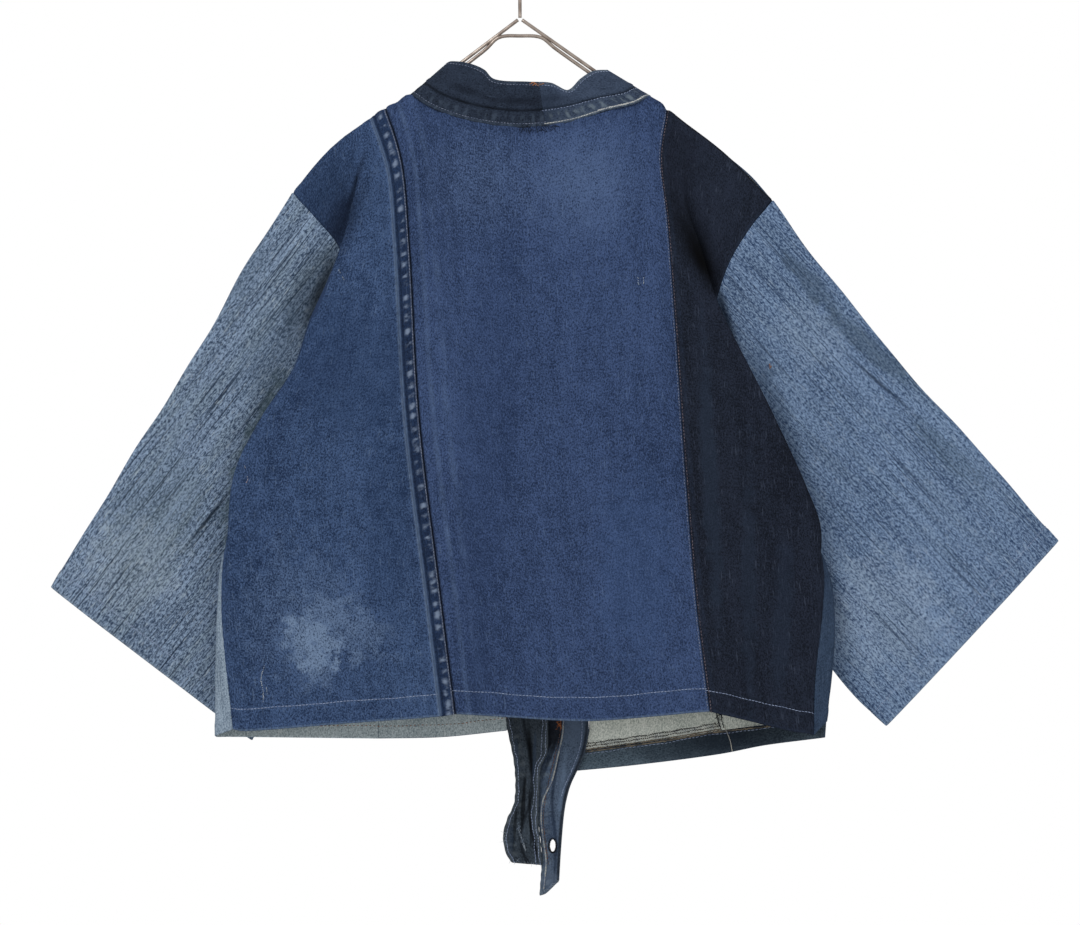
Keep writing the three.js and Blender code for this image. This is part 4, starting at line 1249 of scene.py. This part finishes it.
def wander(points, amount, wavelength, seed):
    """Moves a line to and fro by up to amount mm, in the plane that faces the camera."""
    steps = np.linalg.norm(np.diff(points, axis=0), axis=1)
    along = np.concatenate([[0], np.cumsum(steps)]) / MM
    turn = along / wavelength * 6.28
    sway = np.sin(turn + seed) + 0.6 * np.sin(along / wavelength * 14.3 + 2.1 * seed)
    heading = np.gradient(points, axis=0)
    heading /= np.maximum(np.linalg.norm(heading, axis=1, keepdims=True), 1e-12)
    moved = points.copy()
    moved[:, 0] += heading[:, 2] * sway * amount * MM
    moved[:, 2] -= heading[:, 0] * sway * amount * MM
    return moved


def stitch_tree():
    """Short threads set along lines: a capsule every Pitch, turned, shortened and shifted a little at random."""
    tree = bpy.data.node_groups.new("threads along lines", "GeometryNodeTree")
    tree.interface.new_socket(name="Lines", in_out="INPUT", socket_type="NodeSocketGeometry")
    for label, value in (("Pitch", 0.003), ("Length", 0.0023), ("Radius", 0.0003), ("Turn", 0.0), ("Jitter", 0.1)):
        socket = tree.interface.new_socket(name=label, in_out="INPUT", socket_type="NodeSocketFloat")
        socket.default_value = value
    tree.interface.new_socket(name="Thread", in_out="INPUT", socket_type="NodeSocketMaterial")
    tree.interface.new_socket(name="Threads", in_out="OUTPUT", socket_type="NodeSocketGeometry")
    given = tree.nodes.new("NodeGroupInput").outputs
    result = tree.nodes.new("NodeGroupOutput").inputs
    curves = node(tree, "GeometryNodeMeshToCurve", {"Mesh": given["Lines"]}).outputs[0]
    even = node(tree, "GeometryNodeResampleCurve", {"Curve": curves, "Length": given["Pitch"]},
                mode="LENGTH").outputs[0]
    heading = node(tree, "GeometryNodeInputTangent").outputs[0]
    aligned = node(tree, "FunctionNodeAlignRotationToVector", {"Vector": heading}, axis="X").outputs[0]
    unsteady = times(tree, given["Jitter"], 1.5)
    spin = node(tree, "FunctionNodeRandomValue", {2: times(tree, unsteady, -1.0), 3: unsteady, "Seed": 4},
                data_type="FLOAT").outputs[1]
    turn = node(tree, "FunctionNodeAxisAngleToRotation",
                {"Axis": (0, 1, 0), "Angle": plus(tree, given["Turn"], spin)}).outputs[0]
    rotation = node(tree, "FunctionNodeRotateRotation", {"Rotation": aligned, "Rotate By": turn},
                    rotation_space="GLOBAL").outputs[0]
    short = minus(tree, 1.0, given["Jitter"])
    long = plus(tree, 1.0, given["Jitter"])
    factor = node(tree, "FunctionNodeRandomValue", {2: short, 3: long, "Seed": 9}, data_type="FLOAT").outputs[1]
    size = combined(tree, times(tree, times(tree, given["Length"], 0.5), factor), given["Radius"], given["Radius"])
    bead = node(tree, "GeometryNodeMeshUVSphere", {"Segments": 6, "Rings": 5, "Radius": 1.0}).outputs[0]
    upright = node(tree, "GeometryNodeTransform", {"Geometry": bead, "Rotation": (0, math.pi / 2, 0)}).outputs[0]
    placed = node(tree, "GeometryNodeInstanceOnPoints",
                  {"Points": even, "Instance": upright, "Rotation": rotation, "Scale": size}).outputs[0]
    real = node(tree, "GeometryNodeRealizeInstances", {0: placed}).outputs[0]
    smooth = node(tree, "GeometryNodeSetShadeSmooth", {0: real}).outputs[0]
    painted = node(tree, "GeometryNodeSetMaterial", {"Geometry": smooth, "Material": given["Thread"]}).outputs[0]
    tree.links.new(painted, result[0])
    return tree


thread_tree = stitch_tree()


def threads(name, lines, material, pitch, length, radius, jitter, turn=0.0):
    """Sets threads along lines of points, as one plain mesh.

    Pitch, length and radius are in mm. Jitter is the unevenness, and turn the angle to the line in radians.
    """
    mesh = bpy.data.meshes.new(name + "_lines")
    corners, edges = [], []
    for line in lines:
        edges += [(len(corners) + k, len(corners) + k + 1) for k in range(len(line) - 1)]
        corners += [tuple(point) for point in line]
    mesh.from_pydata(corners, edges, [])
    piece = link(name, mesh)
    maker = piece.modifiers.new("threads", "NODES")
    maker.node_group = thread_tree
    given = {"Pitch": pitch * MM, "Length": length * MM, "Radius": radius * MM, "Jitter": jitter, "Turn": turn,
             "Thread": material}
    for item in thread_tree.interface.items_tree:
        if item.name in given:
            maker[item.identifier] = given[item.name]
    apply_modifier(piece, maker)
    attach(piece, "root")


def thread_material(name, colour, second):
    """Spun thread, a little darker in places."""
    made, tree, shader = new_material(name, rough=0.75, gloss=0.2)
    patches = noise(tree, scaled(tree, in_space(tree), (160, 160, 160)), 2.0)
    tree.links.new(mix_colour(tree, ramp(tree, patches, 0.4, 0.62), paint(colour), paint(second)),
                   shader.inputs["Base Color"])
    return made


cream_thread = thread_material("cream thread", "#b9b7ae", "#8f9194")
hem_thread = thread_material("hem thread", "#a0aecb", "#8290b0")
lilac_thread = thread_material("faded lilac thread", "#858da2", "#5f6a84")
white_thread = thread_material("white thread", "#d6d8d4", "#a9adb2")
brown_thread = thread_material("brown thread", "#6a4d42", "#4a4040")
seam_thread = thread_material("faded seam thread", "#7a6e76", "#4a4550")
beige_thread = thread_material("worn beige thread", "#7d7466", "#4d4a46")
rust_thread = thread_material("rust thread", "#a5643c", "#7c5236")
navy_thread = thread_material("navy thread", "#0c111b", "#18202e")
pale_yarn = thread_material("pale loose yarn", "#aab4bf", "#7e8ea2")
pink_yarn = thread_material("faded pink yarn", "#b39a98", "#8a93a4")
orange_yarn = thread_material("orange yarn", "#b97a4e", "#7d624f")
folded_cloth = thread_material("pale folded edge", "#8b949c", "#65738a")
dark_thread = thread_material("dark overlock thread", "#3d3a30", "#1d1e20")

LEFT, FELL, CENTRE, DARK = "left_back_cloth", "felled_seam_cloth", "centre_back_cloth", "right_back_cloth"
COLLAR_DARK, COLLAR_BLUE = "dark_collar_half", "blue_collar_half"
TIE_DARK, TIE_BLUE = "dark_loose_end", "blue_loose_end"
SLEEVE_L, SLEEVE_R = "left_sleeve_cloth", "right_sleeve_cloth"
RIGHT_FRONT, HEM_BAND = "right_front_cloth", "front_hem_band_cloth"

threads("hem_stitches", [
    wander(line_on(LEFT, "hem", 19.3), 0.25, 70, 1), wander(line_on(CENTRE, "hem", 20.6), 0.3, 80, 2),
    wander(line_on(DARK, "hem", 18.6), 0.3, 60, 3),
], hem_thread, 3.1, 2.9, 0.32, 0.12)
threads("felled_seam_stitches", [line_on(FELL, "right", 1.3), line_on(CENTRE, "right", 1.6)], lilac_thread,
        2.8, 2.1, 0.33, 0.15)
threads("dark_seam_stitches", [line_on(DARK, "left", 1.6)], seam_thread, 3.0, 2.2, 0.3, 0.15)
threads("collar_pink_stitches", [
    line_on(COLLAR_DARK, "left", 2.6, 0.02, 1), line_on(COLLAR_DARK, "right", 2.6),
], lilac_thread, 2.8, 2.1, 0.32, 0.15)
threads("collar_white_stitches", [
    line_on(COLLAR_BLUE, "left", 1.2, 0.0, 0.98), line_on(COLLAR_BLUE, "left", 1.9, 0.5, 0.98),
], white_thread, 2.6, 2.7, 0.36, 0.1)
threads("collar_grey_stitches", [
    line_on(COLLAR_BLUE, "right", 2.6),
    line_on(COLLAR_BLUE, "left", 13.6),
], hem_thread, 2.8, 2.1, 0.3, 0.15)
threads("shoulder_seam", [line_on(DARK, "top", 0.3)], navy_thread,
        1.2, 3.0, 0.9, 0.1)
threads("cuff_stitches", [
    wander(line_on(SLEEVE_L, "hem", CUFF_DEPTH), 0.3, 60, 5),
    wander(line_on(SLEEVE_R, "hem", CUFF_DEPTH), 0.3, 60, 6),
], hem_thread, 3.3, 2.4, 0.3, 0.15)
threads("loose_end_pale_stitches", [
    wander(line_on(TIE_DARK, "left", 2.2), 0.3, 30, 7), wander(line_on(TIE_DARK, "right", 1.4), 0.4, 26, 8),
    wander(line_on(TIE_DARK, "right", 4.8), 0.5, 34, 9),
    wander(line_on(TIE_BLUE, "right", 5.2, 0, 0.5), 0.2, 30, 11),
], hem_thread, 2.6, 2.4, 0.3, 0.2)


EDGE_ON = 0.05  # cloth whose normal has less depth than this is seen edge on


def on_cloth(name, points, lift=0.2):
    """Places points given as (x, z) in mm on the side of a cloth piece that faces the camera."""
    grid, normal, _, thickness = grids[name]
    if name in (SLEEVE_L, SLEEVE_R):
        facing = normal[..., 1] < -EDGE_ON
    else:
        facing = np.abs(normal[..., 1]) > EDGE_ON
    toward = (normal * -np.sign(normal[..., 1:2]))[facing]
    skin = grid[facing] + toward * (thickness / 2 + lift) * MM
    placed = []
    for x, z in points:
        near = np.argmin(np.hypot(skin[:, 0] - x * MM, skin[:, 2] - z * MM))
        slope = toward[near]
        drop = (slope[0] * (x * MM - skin[near, 0]) + slope[2] * (z * MM - skin[near, 2])) / slope[1]
        placed.append((x * MM, skin[near, 1] - drop, z * MM))
    return np.array(placed)


def drawn(name, points, lift=0.2, steps=40):
    """A smooth line through (x, z) points in mm, laid on a cloth piece."""
    flat = spline(np.array([(x, 0, z) for x, z in points], float), np.linspace(0, 1, steps))
    return on_cloth(name, flat[:, [0, 2]], lift)


FOLDED_EDGE = [
    (39.6, -734), (38.2, -752), (34.2, -771), (28.6, -794), (20.8, -811), (19, -828), (21.4, -850), (23.4, -866),
    (21.5, -890),
]
threads("blue_loose_end_folded_edge", [drawn(TIE_BLUE, FOLDED_EDGE, 0.1)], folded_cloth,
        1.1, 4.6, 0.85, 0.12)
threads("loose_end_cream_stitches", [
    drawn(TIE_BLUE, [(x + 0.2, z) for x, z in FOLDED_EDGE], 1.0),
], cream_thread, 2.6, 2.1, 0.34, 0.2)
threads("loose_end_brown_stitches", [
    drawn(TIE_BLUE, [(37.6, -735), (36.0, -752), (31.6, -771), (26.0, -794), (22.6, -812), (21, -828),
                     (23.2, -850), (25.4, -868)]),
], brown_thread, 2.4, 2.1, 0.42, 0.25)
threads("buttonhole_stitches", [
    on_cloth(TIE_BLUE, [
        (BUTTONHOLE[0] + 3.3 * math.cos(k / 6), BUTTONHOLE[1] + 6.4 * math.sin(k / 6)) for k in range(39)
    ], 0.05),
], navy_thread, 0.7, 2.1, 0.45, 0.2, math.pi / 2)
threads("loose_end_ravelled_yarn", [
    drawn(TIE_DARK, [(-1.8, -832), (-0.8, -841), (1.8, -849), (4.2, -855)]),
    drawn(TIE_DARK, [(-0.8, -835), (0.8, -844), (5.2, -856)]),
], pale_yarn, 2.1, 3.4, 0.17, 0.7, 0.35)
threads("loose_end_rust_yarn", [
    drawn(TIE_BLUE, [(33, -747), (36.5, -741), (37.6, -738), (35, -743.5), (33.6, -740), (37.4, -746)]),
    drawn(TIE_BLUE, [(36, -738), (37, -742), (36.4, -748)]),
], rust_thread, 1.6, 2.4, 0.3, 0.6, 0.4)
threads("frayed_ends", [
    drawn(TIE_DARK, [(-9, -866), (8, -867.5), (18, -868.5)]),
    drawn(TIE_BLUE, [(19.5, -895), (27, -890), (34, -884)]),
    drawn(TIE_DARK, [(-14.6, -840), (-15, -848)]),
], pale_yarn, 2.8, 5.2, 0.13, 0.8, 1.3)
threads("scratches", [
    drawn(LEFT, [(-162, -334), (-157, -343), (-150.6, -355), (-147, -366)], 0.9, 14),
    drawn(LEFT, [(-228.6, -688), (-231.6, -699), (-229.5, -711), (-229.6, -720)], 0.2, 12),
    drawn(LEFT, [(-226.6, -708), (-226, -713)], 0.2, 5), drawn(CENTRE, [(105.6, -341), (106, -346)], 0.1, 5),
    drawn(CENTRE, [(106, -346), (110.6, -345.2)], 0.1, 5), drawn(CENTRE, [(110.6, -345.2), (110.6, -341)], 0.1, 5),
], pale_yarn, 1.8, 1.8, 0.32, 0.8)
threads("loose_yarn_left", [
    drawn(LEFT, [(-247.5, -506.4), (-245.8, -512), (-244.8, -517.2), (-243.8, -521), (-246, -524.4),
                 (-248.2, -521.6), (-245.6, -519.4)], 0.4),
], pink_yarn, 0.7, 1.3, 0.33, 0.1)
threads("orange_flecks", [
    drawn(SLEEVE_R, [(225, -417.6), (225.6, -421), (226.4, -419)], 0.3, 6),
    drawn(COLLAR_DARK, [(9, -166.6), (12.4, -165.4), (14.6, -166.6)], 0.3, 8),
    drawn(COLLAR_DARK, [(12, -167.6), (14.4, -166.4), (16, -168)], 0.3, 6),
    drawn(COLLAR_BLUE, [(16.4, -166.4), (18.6, -167.2), (21, -166.4)], 0.3, 6),
], orange_yarn, 1.3, 2.2, 0.4, 0.6, 0.3)
threads("collar_join_ravelled_yarn", [
    drawn(COLLAR_DARK, [(2, -205), (9, -206), (15, -206.4)], 0.3),
    drawn(COLLAR_BLUE, [(17, -206.4), (26, -206), (33, -205)], 0.3),
    drawn(CENTRE, [(0, -208.4), (10, -209.2), (20, -209), (31, -207.6)], 0.5),
], navy_thread, 1.9, 4.2, 0.26, 0.9, 1.35)
threads("dark_seam_ravelled_yarn", [
    drawn(RIGHT_FRONT, [(176.5, -728), (178, -736), (180.5, -744)], 0.3),
    drawn(RIGHT_FRONT, [(180, -727), (182, -736), (184, -745)], 0.3),
], navy_thread, 1.1, 3.6, 0.42, 0.7, 0.9)
threads("hanging_pale_thread", [
    drawn(RIGHT_FRONT, [(184.6, -745), (187, -750)], 0.5, 8),
    drawn(HEM_BAND, [(186.6, -749), (189.6, -757), (191.4, -766)], 0.5, 14),
], cream_thread, 1.1, 2.0, 0.42, 0.1)
threads("inside_hem_rust_stitches", [
    wander(line_on("left_front_cloth", "hem", 11, side=-1), 0.3, 60, 13),
    wander(line_on("left_front_side_cloth", "hem", 11, side=-1), 0.3, 60, 14),
], rust_thread, 3.6, 2.1, 0.32, 0.25)
threads("hem_band_cream_overlock", [
    wander(line_on(RIGHT_FRONT, "hem", 5.4, side=-1), 0.3, 20, 15),
    wander(line_on(RIGHT_FRONT, "hem", 2.6, side=-1), 0.3, 24, 16),
], white_thread, 2.1, 3.6, 0.42, 0.25, 1.15)
threads("hem_band_dark_overlock", [
    wander(line_on(RIGHT_FRONT, "hem", 6.6, side=-1), 0.4, 22, 17),
    wander(line_on(RIGHT_FRONT, "hem", 3.9, side=-1), 0.3, 18, 18),
], dark_thread, 1.9, 2.6, 0.45, 0.4, 0.5)
threads("hem_band_brown_edge", [
    line_on(RIGHT_FRONT, "hem", 0.9, side=-1), line_on(HEM_BAND, "left", 0.8, side=-1),
], beige_thread, 1.6, 4.4, 0.6, 0.3)
threads("hem_band_pale_stitches", [
    wander(line_on(HEM_BAND, "left", 2.6, side=-1), 0.35, 60, 18),
], hem_thread, 3.6, 3.0, 0.3, 0.2)


# ------------------------------------------------------------------ hanger

def tube(name, node_name, path, radius, material, steps=400):
    """A round wire along a path in mm in the plane y = 0, with closed ends."""
    path = np.array(path, float) * MM
    centre = spline(path, np.linspace(0, 1, steps))
    heading = np.gradient(centre, axis=0)
    heading /= np.linalg.norm(heading, axis=1, keepdims=True)
    out = np.stack([heading[:, 2], 0 * heading[:, 0], -heading[:, 0]], axis=1)
    sides = WIRE_SIDES
    angles = np.linspace(0, 2 * math.pi, sides, endpoint=False)
    ring = out[:, None] * np.cos(angles)[None, :, None] + np.array([0, 1.0, 0]) * np.sin(angles)[None, :, None]
    skin = centre[:, None] + ring * radius * MM
    corners = [tuple(point) for point in skin.reshape(-1, 3)]
    faces = [(r * sides + k, r * sides + (k + 1) % sides, (r + 1) * sides + (k + 1) % sides, (r + 1) * sides + k)
             for r in range(steps - 1) for k in range(sides)]
    faces += [tuple(range(sides))[::-1], tuple((steps - 1) * sides + k for k in range(sides))]
    mesh = bpy.data.meshes.new(name)
    mesh.from_pydata(corners, [], faces)
    mesh.shade_smooth()
    mesh.materials.append(material)
    piece = link(name, mesh)
    face_outwards(mesh)
    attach(piece, "root")
    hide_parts(node_name)


def hanger_path():
    """One wire: down the left arm, back under it, over the middle and out along the right arm."""
    def top_wire(x):
        return APEX_HEIGHT - 1.2 - abs(x) * (ARM_SLOPE_LEFT if x < 0 else ARM_SLOPE_RIGHT)

    def under_wire(x):
        return top_wire(x) - WIRE_SPACING * 1.25

    def arm(side):
        span = ARM_SPAN * side
        return [
            (1.9 * side, 0, APEX_HEIGHT - 2.6),
            (30 * side, 0, top_wire(30 * side)),
            (100 * side, 0, top_wire(100 * side)),
            (span - 8 * side, 0, top_wire(span - 8 * side)),
            (span, 0, top_wire(span) - 1.2),
            (span + 0.6 * side, 0, top_wire(span) - 3.4),
            (span - 3 * side, 0, under_wire(span - 3 * side) - 0.4),
            (span - 12 * side, 0, under_wire(span - 12 * side)),
            (100 * side, 0, under_wire(100 * side)),
            (32 * side, 0, under_wire(32 * side)),
            (19 * side, 0, APEX_HEIGHT - 18.5),
        ]

    return [*arm(-1), (0, 0, APEX_HEIGHT - 17), *arm(1)[::-1]]


def hook_path():
    """The stem, then the hook round its middle in steps of 25 degrees."""
    radius = HOOK_RADIUS + WIRE_RADIUS
    turns = [math.radians(-35 + 25 * k) for k in range(11)]
    circle = [(radius * math.cos(turn), 0, radius * math.sin(turn) - HOOK_RADIUS) for turn in turns]
    return [(0, 0, APEX_HEIGHT - 0.6), (0, 0, -85), (1, 0, -66), (10, 0, -51), *circle]


def wire_material():
    """Galvanised wire, dull in places."""
    made, tree, shader = new_material("galvanised wire")
    shader.inputs["Metallic"].default_value = 0.85
    dull = ramp(tree, noise(tree, scaled(tree, in_space(tree), (90, 90, 90)), 3.0), 0.35, 0.7)
    tree.links.new(mix_colour(tree, dull, paint("#b9aca2"), paint("#8d8078")), shader.inputs["Base Color"])
    tree.links.new(plus(tree, times(tree, dull, 0.2), 0.28), shader.inputs["Roughness"])
    return made


steel = wire_material()
tube("hanger_wire", "hanger_frame", hanger_path(), WIRE_RADIUS, steel)
tube("hook_wire", "hanger_hook", hook_path(), WIRE_RADIUS, steel, steps=200)


# ------------------------------------------------------------------ camera, light and floor

def area_light(name, place, side, power):
    """A square light that faces the jacket."""
    data = bpy.data.lights.new(name, "AREA")
    data.size = side
    data.energy = power
    lamp = link(name, data)
    lamp.location = place
    lamp.rotation_euler = (Vector(LIGHT_TARGET) - Vector(place)).to_track_quat("-Z", "Y").to_euler()


scene = bpy.context.scene
world = bpy.data.worlds.new("white surround")
world.use_nodes = True
world.node_tree.nodes.clear()
seen = node(world.node_tree, "ShaderNodeBackground", {"Color": (1, 1, 1, 1), "Strength": 1.0})
felt = node(world.node_tree, "ShaderNodeBackground", {"Color": (1, 1, 1, 1), "Strength": 0.62})
which = node(world.node_tree, "ShaderNodeLightPath").outputs["Is Camera Ray"]
either = node(world.node_tree, "ShaderNodeMixShader", {0: which, 1: felt.outputs[0], 2: seen.outputs[0]})
surround = node(world.node_tree, "ShaderNodeOutputWorld")
world.node_tree.links.new(either.outputs[0], surround.inputs[0])
scene.world = world
scene.view_settings.view_transform = "Standard"

area_light("window", (-1.4, -2.4, 1.3), 1.6, 32)
area_light("fill", (2.2, -2.4, 0.1), 1.4, 9)

floor_mesh = bpy.data.meshes.new("floor")
turns = [2 * math.pi * k / FLOOR_CORNERS for k in range(FLOOR_CORNERS)]
ring = [(FLOOR_RADIUS * math.cos(turn), FLOOR_RADIUS * math.sin(turn), FLOOR_HEIGHT) for turn in turns]
floor_mesh.from_pydata(ring, [], [list(range(FLOOR_CORNERS))])
floor_paint, _, floor_shader = new_material("floor", rough=0.6)
floor_shader.inputs["Base Color"].default_value = paint("#d8d6d2")
floor_mesh.materials.append(floor_paint)
link("floor", floor_mesh)

camera_data = bpy.data.cameras.new("camera")
camera_data.sensor_width = CAMERA_SENSOR
camera_data.lens = CAMERA_LENS
camera = link("camera", camera_data)
camera.location = CAMERA_PLACE
camera.rotation_euler = (math.pi / 2, 0, 0)
scene.camera = camera
